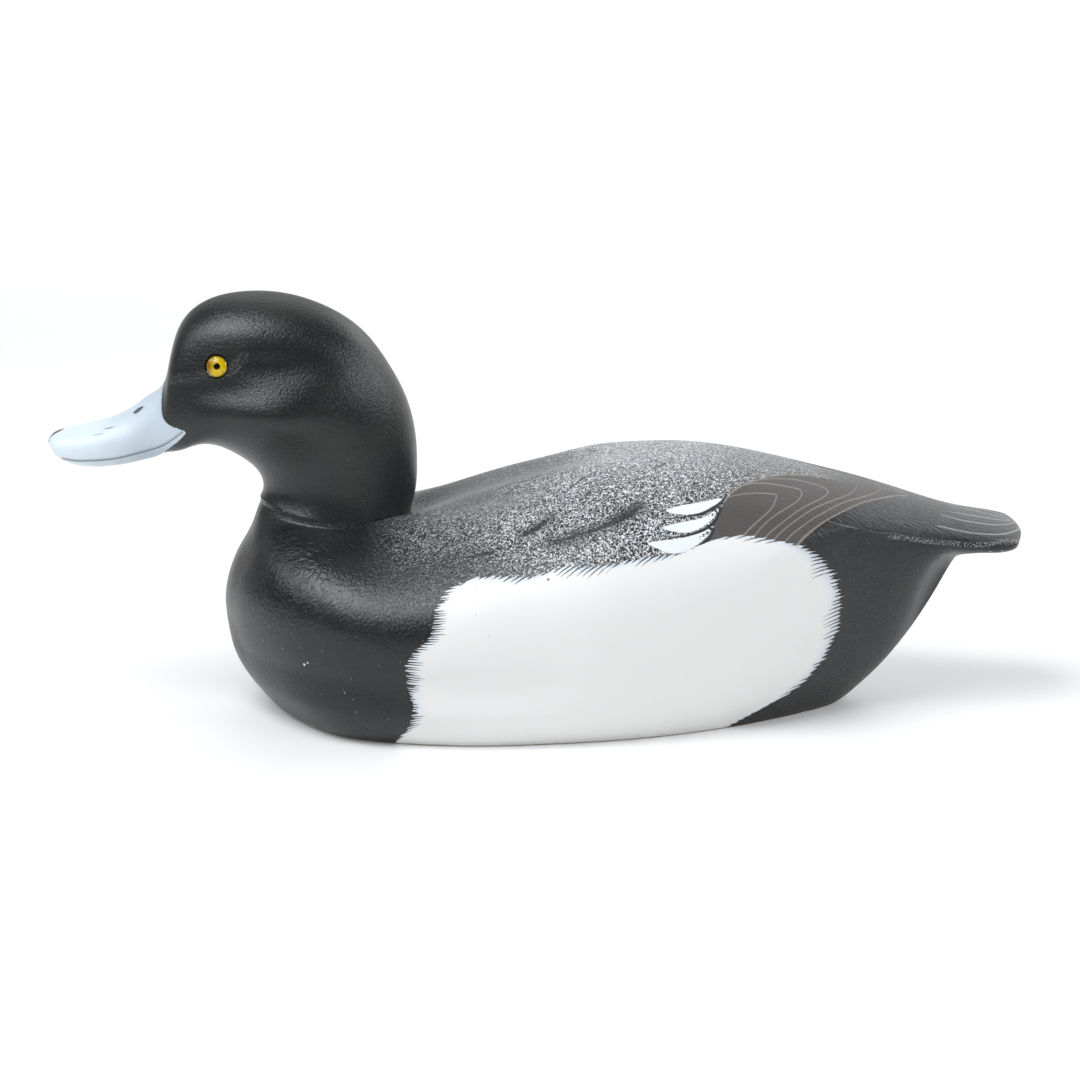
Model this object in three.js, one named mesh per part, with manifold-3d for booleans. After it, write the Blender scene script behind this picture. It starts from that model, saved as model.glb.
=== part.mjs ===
// A life-size drake duck decoy in carved and painted wood, resting on its flat base.
// It is four pieces: the body with its breast and tail, the head with its neck and bill, and two glass eyes.
// Millimetres, +Z up, bill towards -X. The origin is on the table, below the middle of the overall length.

import * as THREE from "three";
import { mergeVertices } from "three/addons/utils/BufferGeometryUtils.js";
import Module from "manifold-3d";

const wasm = await Module();
wasm.setup();

// Driving dimensions

const TAIL_END = 178.7; // from the origin back to the tip of the tail
const BILL_TIP = [-179, 98.4]; // x and z of the foremost point of the bill
const BREAST_FRONT = [-115.2, 36]; // x and z of the foremost point of the breast
const GAP = 0.3; // clearance left between pieces that touch
const EYE_AT = [-114.3, 130.1]; // x and z of the middle of each eye
const EYE_RADIUS = 4.1;
const EYE_DOME = 1.9; // height of the glass dome over its rim
const EYE_DEPTH = 2.6; // length of glass set into the head behind the rim
const EYE_PROUD = -0.35; // the rim lies this far outside the wood, so below its surface

// Ribs of the body from breast to tail. Each row gives the rib's top, its widest point, the edge of its foot and the
// middle of its foot: [x, z], [x, y, z], [x, y, z], [x, z]. The foot is the flat base, then the keel of the rump, then
// the underside of the tail.

const BODY_RIBS = [
  [[-114.5, 46], [-111.4, 19, 37.2], [-112.9, 4.5, 24], [-113.2, 23.8]],
  [[-110.7, 56.8], [-103.4, 37, 38.5], [-106.2, 8, 11.8], [-107.3, 11.5]],
  [[-104.4, 67.5], [-91.7, 51, 40], [-95.7, 12, 1.6], [-98.2, 1.3]],
  [[-98.6, 76.9], [-77.5, 61.5, 41.5], [-85.5, 28, 0], [-90, 0]],
  [[-84, 76.3], [-60, 68.5, 43], [-70.5, 47.5, 0], [-76, 0]],
  [[-60, 69.4], [-41, 72, 44.5], [-47.5, 56.5, 0], [-52, 0]],
  [[-38, 74.6], [-20, 73.3, 46], [-21, 59.5, 0], [-22, 0]],
  [[-12, 83.7], [2, 73.3, 48], [4, 57.3, 0], [4, 0]],
  [[15, 91.2], [26, 70.5, 50.5], [28, 53, 0], [28, 0]],
  [[42, 96.2], [50, 65, 54], [52, 45.5, 0], [52, 0]],
  [[68, 95.2], [72, 57, 59], [75, 34.5, 0], [75, 0]],
  [[92, 90.5], [92, 47, 66.5], [95, 21.5, 0], [96, 0]],
  [[112, 85.5], [110, 38.5, 72.5], [111, 7.5, 0.2], [112, 0]],
  [[128, 81], [125, 33, 71.6], [125.5, 3.5, 11], [126.2, 10.7]],
  [[142, 76.8], [139, 29.3, 68.5], [139.2, 3.5, 27.8], [139.8, 27.4]],
  [[153, 73.6], [151, 27.6, 66], [150.6, 3.5, 47.2], [150.9, 46.6]],
  [[161, 71.6], [160, 27.3, 65.2], [157.4, 7, 58.2], [157.4, 58]],
  [[168, 70.1], [167, 27, 65], [166.5, 12, 60.4], [166.5, 60.2]],
  [[173.6, 69], [173.2, 24.5, 64.8], [173.2, 12, 61.3], [173.4, 61.2]],
  [[176.8, 68.1], [175.9, 19.5, 65], [175.8, 9, 62.4], [175.9, 62.3]],
  [[TAIL_END, 66.6], [TAIL_END - 0.8, 11, 65.2], [TAIL_END - 0.8, 5, 63.7], [TAIL_END - 0.6, 63.7]],
];

// How full each rib is: the exponent of its upper quarter, then the two handles of its lower side as shares of that
// side's width and height, first at the widest point and then at the foot.

const BODY_FULLNESS = [
  [2, 0, 0.52, 0.5, 0.04],
  [2, 0, 0.5, 0.42, 0.04],
  [2, 0, 0.5, 0.42, 0.04],
  [1.95, 0, 0.52, 0.46, 0.05],
  [2, 0, 0.5, 0.56, 0.1],
  [1.95, 0, 0.5, 0.62, 0.16],
  [1.9, 0, 0.5, 0.62, 0.2],
  [2, 0, 0.5, 0.62, 0.2],
  [2.05, 0, 0.5, 0.6, 0.2],
  [2.1, 0, 0.48, 0.55, 0.22],
  [2.1, 0, 0.45, 0.5, 0.22],
  [2.1, 0.02, 0.4, 0.45, 0.14],
  [2.05, 0.06, 0.38, 0.44, 0.06],
  [2, 0.08, 0.33, 0.42, 0.03],
  [2, 0.03, 0.28, 0.32, 0.2],
  [2, 0, 0.3, 0.2, 0.62],
  [2, 0, 0.55, 0.4, 0.12],
  [2, 0, 0.75, 0.5, 0],
  [2, 0, 0.75, 0.5, 0],
  [2, 0, 0.75, 0.5, 0],
  [2, 0, 0.75, 0.5, 0],
];

// Folded wings: a pair of low swells beside the middle of the back, highest just behind the neck.

const WING_SWELL = { height: 5.6, from: 26, start: -92, full: -62, fade: -18, end: 48 };

// Ribs of the head from the neck's joint to the bill. Each row gives the outer point [x, z] on the nape, crown or
// culmen, the inner point [x, z] on the throat, chin or lower mandible, the half width, the exponent of the section
// and how far its widest place is moved towards the inner point.

const HEAD_RIBS = [
  [[-49, 67.2], [-99.6, 70.8], 24.8, 2.1, 0],
  [[-46, 74.5], [-99.6, 76.4], 24.4, 2.1, 0],
  [[-43.9, 82.5], [-99.7, 81.5], 23.6, 2.1, 0],
  [[-43.4, 92], [-101.2, 86.4], 23.6, 2.1, 0],
  [[-44, 101.5], [-105, 91], 24.2, 2.1, 0],
  [[-47.1, 114.5], [-110.8, 95.1], 25.4, 2.1, 0.02],
  [[-54.2, 128.6], [-116.2, 97.9], 25.8, 2.1, 0.06],
  [[-66.2, 142.8], [-121, 99.2], 25, 2.15, 0.12],
  [[-86.3, 152.6], [-125, 99.2], 23.4, 2.2, 0.18],
  [[-107, 154.1], [-128.2, 98.6], 21, 2.25, 0.2],
  [[-121.8, 149.6], [-131, 97.8], 18.6, 2.3, 0.2],
  [[-131, 138.3], [-133.2, 96.9], 16, 2.3, 0.22],
  [[-135.3, 121.8], [-135.6, 95.9], 13, 2.3, 0.28],
  [[-140.8, 116.2], [-139, 94.6], 10.6, 2.3, 0.34],
  [[-147.8, 111.2], [-144.8, 93], 10.2, 2.3, 0.36],
  [[-156, 107.4], [-152, 91.5], 10.9, 2.4, 0.34],
  [[-164.5, 105.3], [-161, 90.7], 11.8, 2.5, 0.3],
  [[-172, 103.4], [-169.6, 91.3], 11.2, 2.5, 0.2],
  [[-177, 101.4], [-175.6, 94], 8, 2.3, 0.1],
];

// Soft shapes carved on each side of the face: [x, z, length, height, lift], lift being outwards.

const FACE_SWELLS = [
  [-91, 119, 17, 12, 1.6],
  [-113, 142, 14, 6, 0.8],
  [-114, 121.5, 16, 4, -1.1],
];

const BODY_STEPS = 2.2; // rings for each space between ribs
const HEAD_STEPS = 2.6;
const UPPER_SIDES = 10; // facets of a half ring over, beside and under the body
const LOWER_SIDES = 8;
const FOOT_SIDES = 2;
const HEAD_SIDES = 18; // facets of the head's half ring

// A natural cubic spline through points that stand one apart, as a function of the place along them.
function fairCurve(points) {
  const n = points.length;
  const bends = points[0].map((_, k) => {
    const slope = new Array(n).fill(0);
    const load = new Array(n).fill(0);
    for (let i = 1; i < n - 1; i++) {
      const rise = 6 * (points[i + 1][k] - 2 * points[i][k] + points[i - 1][k]);
      const pivot = 4 + slope[i - 1];
      slope[i] = -1 / pivot;
      load[i] = (rise - load[i - 1]) / pivot;
    }
    const bend = new Array(n).fill(0);
    for (let i = n - 2; i > 0; i--) bend[i] = load[i] + slope[i] * bend[i + 1];
    return bend;
  });
  return (place) => {
    const i = Math.min(Math.max(Math.floor(place), 0), n - 2);
    const t = place - i;
    const u = 1 - t;
    return points[i].map((p, k) => {
      const curve = ((u ** 3 - u) * bends[k][i] + (t ** 3 - t) * bends[k][i + 1]) / 6;
      return u * p + t * points[i + 1][k] + curve;
    });
  };
}

// The same, for a line of ribs that closes to a point before its first rib. beyond holds the first two ribs as the
// line meets them on the far side of that point, which keeps the surface round there.
function fairFromPole(pole, points, beyond) {
  const curve = fairCurve([beyond[1], beyond[0], pole, ...points]);
  return (place) => curve(place + 2);
}

function smoothstep(from, to, value) {
  const t = Math.min(Math.max((value - from) / (to - from), 0), 1);
  return t * t * (3 - 2 * t);
}

// A closed surface from rings of equal length, each end closed by a fan to its own middle point.
function loft(rings, firstPoint, lastPoint) {
  const size = rings[0].length;
  const positions = [firstPoint, ...rings.flat(), lastPoint].flat();
  const last = 1 + rings.length * size;
  const index = [];
  for (let j = 0; j < size; j++) {
    const next = (j + 1) % size;
    index.push(0, 1 + next, 1 + j);
    index.push(last, last - size + j, last - size + next);
    for (let i = 0; i < rings.length - 1; i++) {
      const a = 1 + i * size + j;
      const b = 1 + i * size + next;
      index.push(a, b, a + size, b, b + size, a + size);
    }
  }
  const geometry = new THREE.BufferGeometry();
  geometry.setAttribute("position", new THREE.Float32BufferAttribute(positions, 3));
  geometry.setIndex(index);
  return geometry;
}

// A half ring from top to bottom on the -Y side, completed by its mirror image.
function mirrored(half) {
  const other = half.slice(1, -1).reverse();
  return [...half, ...other.map(([x, y, z]) => [x, -y, z])];
}

function solidOf(geometry) {
  const bare = new THREE.BufferGeometry();
  bare.setAttribute("position", geometry.getAttribute("position"));
  bare.setIndex(geometry.index);
  const merged = mergeVertices(bare, 1e-4);
  return new wasm.Manifold(
    new wasm.Mesh({
      numProp: 3,
      vertProperties: merged.attributes.position.array,
      triVerts: new Uint32Array(merged.index.array),
    }),
  );
}

function geometryOf(solid) {
  const mesh = solid.getMesh();
  const geometry = new THREE.BufferGeometry();
  geometry.setAttribute("position", new THREE.BufferAttribute(mesh.vertProperties, 3));
  geometry.setIndex(new THREE.BufferAttribute(mesh.triVerts, 1));
  geometry.computeVertexNormals();
  return geometry;
}

// The body

const flat = (column) => BODY_RIBS.map((rib) => [rib[column][0], 0, rib[column][1]]);
const mirrorY = ([x, y, z]) => [x, -y, z];
const bodyPole = [BREAST_FRONT[0], 0, BREAST_FRONT[1]];
const tops = flat(0);
const sides = BODY_RIBS.map((rib) => rib[1]);
const feet = BODY_RIBS.map((rib) => rib[2]);
const keels = flat(3);
const topLine = fairFromPole(bodyPole, tops, keels);
const keelLine = fairFromPole(bodyPole, keels, tops);
const sideLine = fairFromPole(bodyPole, sides, sides.slice(0, 2).map(mirrorY));
const footLine = fairFromPole(bodyPole, feet, feet.slice(0, 2).map(mirrorY));
const fullness = fairCurve(BODY_FULLNESS);

// How much the folded wings lift the back at a place x along it and y beside its middle.
function wingSwell(x, y) {
  const { height, from, start, full, fade, end } = WING_SWELL;
  const along = smoothstep(start, full, x) * (1 - smoothstep(fade, end, x));
  const across = (y / from) ** 2;
  return height * along * across * Math.exp(1 - across);
}

function upperSide(top, side, exponent, angle) {
  const rise = Math.cos(angle) ** (2 / exponent);
  const out = Math.sin(angle) ** (2 / exponent);
  const x = side[0] + (top[0] - side[0]) * rise;
  const y = side[1] * out;
  return [x, -y, side[2] + (top[2] - side[2]) * rise + wingSwell(x, y)];
}

function lowerSide(side, foot, handles, t) {
  const [sideIn, sideDown, footOut, footUp] = handles;
  const width = side[1] - foot[1];
  const height = side[2] - foot[2];
  const u = 1 - t;
  const w = [u ** 3, 3 * u * u * t, 3 * u * t * t, t ** 3];
  const x = side[0] * (w[0] + w[1]) + foot[0] * (w[2] + w[3]);
  const y = side[1] * w[0] + (side[1] - sideIn * width) * w[1] + (foot[1] + footOut * width) * w[2] + foot[1] * w[3];
  const z = side[2] * w[0] + (side[2] - sideDown * height) * w[1] + (foot[2] + footUp * height) * w[2] + foot[2] * w[3];
  return [x, -y, Math.max(z, 0)];
}

function bodyRing(place) {
  const top = topLine(place);
  const side = sideLine(place);
  const foot = footLine(place);
  const keel = keelLine(place);
  const [exponent, ...handles] = fullness(Math.max(place - 1, 0));
  const half = [];
  for (let i = 0; i < UPPER_SIDES; i++) {
    half.push(upperSide(top, side, exponent, (i / UPPER_SIDES) * (Math.PI / 2)));
  }
  for (let i = 0; i < LOWER_SIDES; i++) half.push(lowerSide(side, foot, handles, i / LOWER_SIDES));
  for (let i = 0; i <= FOOT_SIDES; i++) {
    const t = i / FOOT_SIDES;
    const z = foot[2] + (keel[2] - foot[2]) * t;
    half.push([foot[0] + (keel[0] - foot[0]) * t, -foot[1] * (1 - t), Math.max(z, 0)]);
  }
  return mirrored(half);
}

function bodyGeometry() {
  const rings = [];
  const count = Math.round((BODY_RIBS.length - 0.5) * BODY_STEPS);
  for (let i = 1; i <= count; i++) rings.push(bodyRing(0.5 + ((BODY_RIBS.length - 0.5) * i) / count));
  rings.unshift(bodyRing(0.5));
  return loft(rings, bodyPole, [TAIL_END + 0.2, 0, (tops.at(-1)[2] + keels.at(-1)[2]) / 2]);
}

// The head

const headLine = fairCurve([
  ...HEAD_RIBS.map(([outer, inner, half, exponent, low]) => [...outer, ...inner, half, exponent, low]),
  [...BILL_TIP, ...BILL_TIP, 0, 2.1, 0],
]);

function faceSwell(x, z) {
  let lift = 0;
  for (const [cx, cz, length, height, most] of FACE_SWELLS) {
    lift += most * Math.exp(-(((x - cx) / length) ** 2) - ((z - cz) / height) ** 2);
  }
  return lift;
}

// A point of the head on its -Y side, at a place along the ribs and an angle round them from the crown. grow makes
// the neck thicker all round, for the recess that it stands in.
function headPoint(place, angle, grow = 0) {
  const [ox, oz, ix, iz, halfWidth, exponent, low] = headLine(place);
  const axis = new THREE.Vector2(ox - ix, oz - iz);
  const reach = axis.length() / 2 + grow;
  axis.normalize();
  const c = Math.cos(angle);
  const out = Math.abs(Math.sin(angle)) ** (2 / exponent);
  const along = reach * (Math.sign(c) * Math.abs(c) ** (2 / exponent) - low * out);
  const x = (ox + ix) / 2 + axis.x * along;
  const z = (oz + iz) / 2 + axis.y * along;
  return [x, -out * (halfWidth + grow + faceSwell(x, z)), z];
}

function headRing(place, grow = 0) {
  const half = [];
  for (let j = 0; j <= HEAD_SIDES; j++) half.push(headPoint(place, (Math.PI * j) / HEAD_SIDES, grow));
  return mirrored(half);
}

function centreOf(ring) {
  return [0, 1, 2].map((k) => ring.reduce((sum, point) => sum + point[k], 0) / ring.length);
}

function headGeometry() {
  const rings = [];
  const end = HEAD_RIBS.length - 0.45;
  const count = Math.round(end * HEAD_STEPS);
  for (let i = count; i >= 0; i--) rings.push(headRing((end * i) / count));
  return loft(rings, [BILL_TIP[0], 0, BILL_TIP[1]], centreOf(rings.at(-1)));
}

// The recess cut in the body for the foot of the neck, with clearance all round.
function neckRecess() {
  const rings = [];
  for (let i = 4; i >= 0; i--) rings.push(headRing(i / 2, GAP + 0.05));
  rings.push(rings.at(-1).map(([x, y, z]) => [x, y, z - GAP]));
  return loft(rings, centreOf(rings[0]), centreOf(rings.at(-1)));
}

// The eyes

// The point of the head's -Y side at x and z, closed in on from a coarse search.
function headSurfaceAt(x, z) {
  let best = { off: Infinity, place: 8, angle: Math.PI / 2 };
  for (let step = 1; step > 0.001; step /= 2) {
    const { place, angle } = best;
    for (let i = -4; i <= 4; i++) {
      for (let j = -4; j <= 4; j++) {
        const at = [place + i * step, angle + j * step * 0.25];
        const point = headPoint(...at);
        const off = (point[0] - x) ** 2 + (point[2] - z) ** 2;
        if (off < best.off) best = { off, point, place: at[0], angle: at[1] };
      }
    }
  }
  return best.point;
}

function eyeFrame(side) {
  const reach = 3;
  const at = (dx, dz) => new THREE.Vector3(...headSurfaceAt(EYE_AT[0] + dx, EYE_AT[1] + dz));
  const along = at(reach, 0).sub(at(-reach, 0));
  const up = at(0, reach).sub(at(0, -reach));
  const normal = along.cross(up).normalize();
  const centre = at(0, 0).addScaledVector(normal, EYE_PROUD);
  if (side > 0) {
    centre.y *= -1;
    normal.y *= -1;
  }
  return { centre, normal };
}

function eyeProfile(grow) {
  const radius = EYE_RADIUS + grow;
  const ball = (EYE_RADIUS ** 2 + EYE_DOME ** 2) / (2 * EYE_DOME);
  const spread = Math.asin(EYE_RADIUS / ball);
  const points = [new THREE.Vector2(0, -EYE_DEPTH - grow), new THREE.Vector2(radius * 0.8, -EYE_DEPTH - grow)];
  points.push(new THREE.Vector2(radius, -EYE_DEPTH * 0.55));
  for (let i = 0; i <= 5; i++) {
    const angle = spread * (1 - i / 5);
    const r = i === 5 ? 0 : (ball + grow) * Math.sin(angle);
    points.push(new THREE.Vector2(r, EYE_DOME - ball + (ball + grow) * Math.cos(angle)));
  }
  return points;
}

function eyeGeometry(side, grow = 0) {
  const geometry = new THREE.LatheGeometry(eyeProfile(grow), 22);
  const { centre, normal } = eyeFrame(side);
  const turn = new THREE.Quaternion().setFromUnitVectors(new THREE.Vector3(0, 1, 0), normal);
  geometry.applyQuaternion(turn);
  geometry.translate(centre.x, centre.y, centre.z);
  return geometry;
}

// Materials

const blackPaint = new THREE.MeshStandardMaterial({ color: 0x2b2c2e, roughness: 0.5, metalness: 0 });
const backPaint = new THREE.MeshStandardMaterial({ color: 0x77787a, roughness: 0.6, metalness: 0 });
const eyeGlass = new THREE.MeshStandardMaterial({ color: 0xcf9a10, roughness: 0.05, metalness: 0 });

// Assembly

const decoy = new THREE.Group();

function add(name, geometry, material) {
  const mesh = new THREE.Mesh(geometry, material);
  mesh.name = name;
  decoy.add(mesh);
}

let head = solidOf(headGeometry());
for (const side of [-1, 1]) head = head.subtract(solidOf(eyeGeometry(side, GAP)));

add("body", geometryOf(solidOf(bodyGeometry()).subtract(solidOf(neckRecess()))), backPaint);
add("head", geometryOf(head), blackPaint);
add("eye_left", eyeGeometry(-1), eyeGlass);
add("eye_right", eyeGeometry(1), eyeGlass);

export default decoy;
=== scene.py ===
# A drake duck decoy, carved in wood and painted by hand, on a plain white table.
# Lengths are in millimetres until a mesh is made. The bill points to -X, and the side that is seen is -Y.

import functools
import math

import bpy
import numpy as np
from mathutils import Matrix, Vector
from mathutils.kdtree import KDTree


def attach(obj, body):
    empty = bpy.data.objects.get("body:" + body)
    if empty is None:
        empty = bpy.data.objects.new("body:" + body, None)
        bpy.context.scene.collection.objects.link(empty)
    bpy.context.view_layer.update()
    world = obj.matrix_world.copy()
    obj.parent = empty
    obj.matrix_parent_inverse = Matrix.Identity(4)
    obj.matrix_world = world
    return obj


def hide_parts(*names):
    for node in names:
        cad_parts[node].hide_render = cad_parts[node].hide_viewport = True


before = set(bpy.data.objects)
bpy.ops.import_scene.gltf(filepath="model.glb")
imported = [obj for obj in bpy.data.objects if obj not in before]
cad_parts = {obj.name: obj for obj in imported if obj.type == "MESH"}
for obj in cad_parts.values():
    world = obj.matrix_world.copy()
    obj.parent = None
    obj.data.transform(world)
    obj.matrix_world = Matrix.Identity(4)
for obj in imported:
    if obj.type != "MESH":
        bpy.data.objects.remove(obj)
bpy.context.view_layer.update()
MM = 0.001

# The carved body. One block of wood, broad and flat underneath, with a round breast, low folded wings and a thin
# upswept tail. It is shaped here on the same ribs as the solid, far more finely, and bored for the foot of the neck.

# Each rib gives its top [x, z], its widest point [x, y, z], the edge of its foot [x, y, z] and the middle of its
# foot [x, z].
BODY_RIBS = [
    [[-114.5, 46], [-111.4, 19, 37.2], [-112.9, 4.5, 24], [-113.2, 23.8]],
    [[-110.7, 56.8], [-103.4, 37, 38.5], [-106.2, 8, 11.8], [-107.3, 11.5]],
    [[-104.4, 67.5], [-91.7, 51, 37], [-95.7, 12, 1.6], [-98.2, 1.3]],
    [[-98.6, 76.9], [-77.5, 61.5, 37], [-85.5, 28, 0], [-90, 0]],
    [[-84, 76.3], [-60, 68.5, 38.5], [-70.5, 47.5, 0], [-76, 0]],
    [[-60, 69.4], [-41, 72, 41.5], [-47.5, 56.5, 0], [-52, 0]],
    [[-38, 74.6], [-20, 73.3, 45], [-21, 59.5, 0], [-22, 0]],
    [[-12, 83.7], [2, 73.3, 48], [4, 57.3, 0], [4, 0]],
    [[15, 91.2], [26, 70.5, 50.5], [28, 53, 0], [28, 0]],
    [[42, 96.2], [50, 65, 54], [52, 45.5, 0], [52, 0]],
    [[68, 95.2], [72, 57, 59], [75, 34.5, 0], [75, 0]],
    [[92, 90.5], [92, 47, 66.5], [95, 21.5, 0], [96, 0]],
    [[112, 85.5], [110, 38.5, 72.5], [111, 7.5, 0.2], [112, 0]],
    [[128, 81], [125, 33, 71.6], [125.5, 3.5, 11], [126.2, 10.7]],
    [[142, 76.8], [139, 29.3, 68.5], [139.2, 3.5, 27.8], [139.8, 27.4]],
    [[153, 73.6], [151, 27.6, 66], [150.6, 3.5, 47.2], [150.9, 46.6]],
    [[161, 71.6], [160, 27.3, 65.2], [157.4, 7, 58.2], [157.4, 58]],
    [[168, 70.1], [167, 27, 65], [166.5, 12, 60.4], [166.5, 60.2]],
    [[173.6, 69], [173.2, 24.5, 64.8], [173.2, 12, 61.3], [173.4, 61.2]],
    [[176.8, 68.1], [175.9, 19.5, 65], [175.8, 9, 62.4], [175.9, 62.3]],
    [[178.7, 66.6], [177.9, 11, 65.2], [177.9, 5, 63.7], [178.1, 63.7]],
]
BREAST_FRONT = [-115.2, 0, 36]
TAIL_TIP = [178.9, 0, 65.15]
# How full each rib is: the exponent of its upper quarter, then the four handles of its lower side.
BODY_FULLNESS = [
    [2, 0, 0.52, 0.5, 0.04],
    [2, 0, 0.5, 0.42, 0.04],
    [1.92, 0, 0.5, 0.42, 0.04],
    [1.85, 0, 0.52, 0.46, 0.05],
    [1.85, 0, 0.5, 0.56, 0.1],
    [1.88, 0, 0.5, 0.62, 0.16],
    [1.9, 0, 0.5, 0.62, 0.2],
    [2, 0, 0.5, 0.62, 0.2],
    [2.05, 0, 0.5, 0.6, 0.2],
    [2.1, 0, 0.48, 0.55, 0.22],
    [2.1, 0, 0.45, 0.5, 0.22],
    [2.1, 0.02, 0.4, 0.45, 0.14],
    [2.05, 0.06, 0.38, 0.44, 0.06],
    [2, 0.08, 0.33, 0.42, 0.03],
    [2, 0.03, 0.28, 0.32, 0.2],
    [2, 0, 0.3, 0.2, 0.62],
    [2, 0, 0.55, 0.4, 0.12],
    [2, 0, 0.75, 0.5, 0],
    [2, 0, 0.75, 0.5, 0],
    [2, 0, 0.75, 0.5, 0],
    [2, 0, 0.75, 0.5, 0],
]


def fair_curve(rows):
    """A natural cubic spline through rows that stand one apart, as a function of the places along it."""
    rows = np.array(rows, float)
    inner = len(rows) - 2
    ties = 4 * np.eye(inner) + np.eye(inner, k=1) + np.eye(inner, k=-1)
    bend = np.zeros_like(rows)
    bend[1:-1] = np.linalg.solve(ties, 6 * (rows[2:] - 2 * rows[1:-1] + rows[:-2]))

    def at(places):
        places = np.asarray(places, float)
        i = np.clip(places.astype(int), 0, inner)
        t = (places - i)[:, None]
        u = 1 - t
        return u * rows[i] + t * rows[i + 1] + ((u**3 - u) * bend[i] + (t**3 - t) * bend[i + 1]) / 6

    return at


def fair_from_pole(rows, beyond):
    """The same for a line of ribs that closes to the foremost point of the breast, with the two ribs past it."""
    curve = fair_curve([beyond[1], beyond[0], BREAST_FRONT, *rows])
    return lambda places: curve(np.asarray(places) + 2)


def smoothstep(low, high, value):
    t = np.clip((value - low) / (high - low), 0, 1)
    return t * t * (3 - 2 * t)


tops = [[rib[0][0], 0, rib[0][1]] for rib in BODY_RIBS]
sides = [rib[1] for rib in BODY_RIBS]
feet = [rib[2] for rib in BODY_RIBS]
keels = [[rib[3][0], 0, rib[3][1]] for rib in BODY_RIBS]
top_line = fair_from_pole(tops, keels)
keel_line = fair_from_pole(keels, tops)
side_line = fair_from_pole(sides, [[x, -y, z] for x, y, z in sides[:2]])
foot_line = fair_from_pole(feet, [[x, -y, z] for x, y, z in feet[:2]])
fullness = fair_curve(BODY_FULLNESS)


def wing_swell(x, y):
    """How much the folded wings lift the back."""
    along = smoothstep(-92, -62, x) * (1 - smoothstep(-18, 48, x))
    across = (y / 26) ** 2
    return 5.6 * along * across * np.exp(1 - across)


def body_rings(places, upper=98, lower=40, under=7):
    """Rings round the body, each from the back down the -Y side to the keel and up the other side."""
    top, side, foot, keel = (line(places)[:, :, None] for line in (top_line, side_line, foot_line, keel_line))
    exponent, side_in, side_down, foot_out, foot_up = fullness(np.maximum(places - 1, 0)).T[:, :, None]
    angle = np.arange(upper) / upper * math.pi / 2
    rise = np.cos(angle) ** (2 / exponent)
    out = np.sin(angle) ** (2 / exponent)
    x = side[:, 0] + (top[:, 0] - side[:, 0]) * rise
    y = side[:, 1] * out
    z = side[:, 2] + (top[:, 2] - side[:, 2]) * rise + wing_swell(x, y)
    halves = [np.stack([x, -y, z], 2)]
    t = np.arange(lower) / lower
    u = 1 - t
    w = [u**3, 3 * u * u * t, 3 * u * t * t, t**3]
    width = side[:, 1] - foot[:, 1]
    height = side[:, 2] - foot[:, 2]
    x = side[:, 0] * (w[0] + w[1]) + foot[:, 0] * (w[2] + w[3])
    y = side[:, 1] * w[0] + (side[:, 1] - side_in * width) * w[1]
    y = y + (foot[:, 1] + foot_out * width) * w[2] + foot[:, 1] * w[3]
    z = side[:, 2] * w[0] + (side[:, 2] - side_down * height) * w[1]
    z = z + (foot[:, 2] + foot_up * height) * w[2] + foot[:, 2] * w[3]
    halves.append(np.stack([x, -y, np.maximum(z, 0)], 2))
    t = np.arange(under + 1) / under
    x, z = (foot[:, k] + (keel[:, k] - foot[:, k]) * t for k in (0, 2))
    halves.append(np.stack([x, -foot[:, 1] * (1 - t), np.maximum(z, 0)], 2))
    return mirrored(np.concatenate(halves, 1))


def mirrored(half):
    other = half[:, -2:0:-1] * [1, -1, 1]
    return np.concatenate([half, other], 1)


def evenly(line, first, last, count):
    """Places from first to last that stand evenly apart along a line."""
    places = np.linspace(first, last, 4000)
    steps = np.linalg.norm(np.diff(line(places), axis=0), axis=1)
    reach = np.append(0, np.cumsum(steps))
    return np.interp(np.linspace(0, reach[-1], count), reach, places)


def lofted(name, rings, first, last):
    """A closed mesh object over rings of equal length, each end closed by a fan to its own point."""
    count, size = rings.shape[:2]
    points = np.concatenate([[first], rings.reshape(-1, 3), [last]]) * MM
    j = np.arange(size)
    after = (j + 1) % size
    end = len(points) - 1
    faces = [np.stack([np.zeros_like(j), 1 + after, 1 + j], 1).tolist()]
    faces.append(np.stack([np.full_like(j, end), end - size + j, end - size + after], 1).tolist())
    start = 1 + size * np.arange(count - 1)[:, None]
    quads = np.stack([start + j, start + after, start + size + after, start + size + j], 2)
    faces.append(quads.reshape(-1, 4).tolist())
    mesh = bpy.data.meshes.new(name)
    mesh.from_pydata(points.tolist(), [], sum(faces, []))
    mesh.update()
    piece = bpy.data.objects.new(name, mesh)
    bpy.context.scene.collection.objects.link(piece)
    return piece


def cut(piece, tools):
    """Cuts the tools out of the piece, and throws the tools away."""
    for tool in tools:
        step = piece.modifiers.new("cut", "BOOLEAN")
        step.operation = "DIFFERENCE"
        step.solver = "MANIFOLD"
        step.object = tool
    graph = bpy.context.evaluated_depsgraph_get()
    mesh = bpy.data.meshes.new_from_object(piece.evaluated_get(graph))
    piece.modifiers.clear()
    old, piece.data = piece.data, mesh
    mesh.name = piece.name
    bpy.data.meshes.remove(old)
    for tool in tools:
        bpy.data.objects.remove(tool)


def shaded(piece, sharp=35):
    piece.data.shade_smooth()
    piece.data.set_sharp_from_angle(angle=math.radians(sharp))


def points_of(piece):
    points = np.empty(len(piece.data.vertices) * 3)
    piece.data.vertices.foreach_get("co", points)
    return points.reshape(-1, 3) / MM


def carve(piece, depth):
    """Moves each vertex along its normal by a depth in millimetres, inwards where that is below zero."""
    normals = np.empty(len(piece.data.vertices) * 3)
    piece.data.vertex_normals.foreach_get("vector", normals)
    moved = points_of(piece) + normals.reshape(-1, 3) * depth[:, None]
    piece.data.vertices.foreach_set("co", (moved * MM).ravel())
    piece.data.update()


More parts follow.
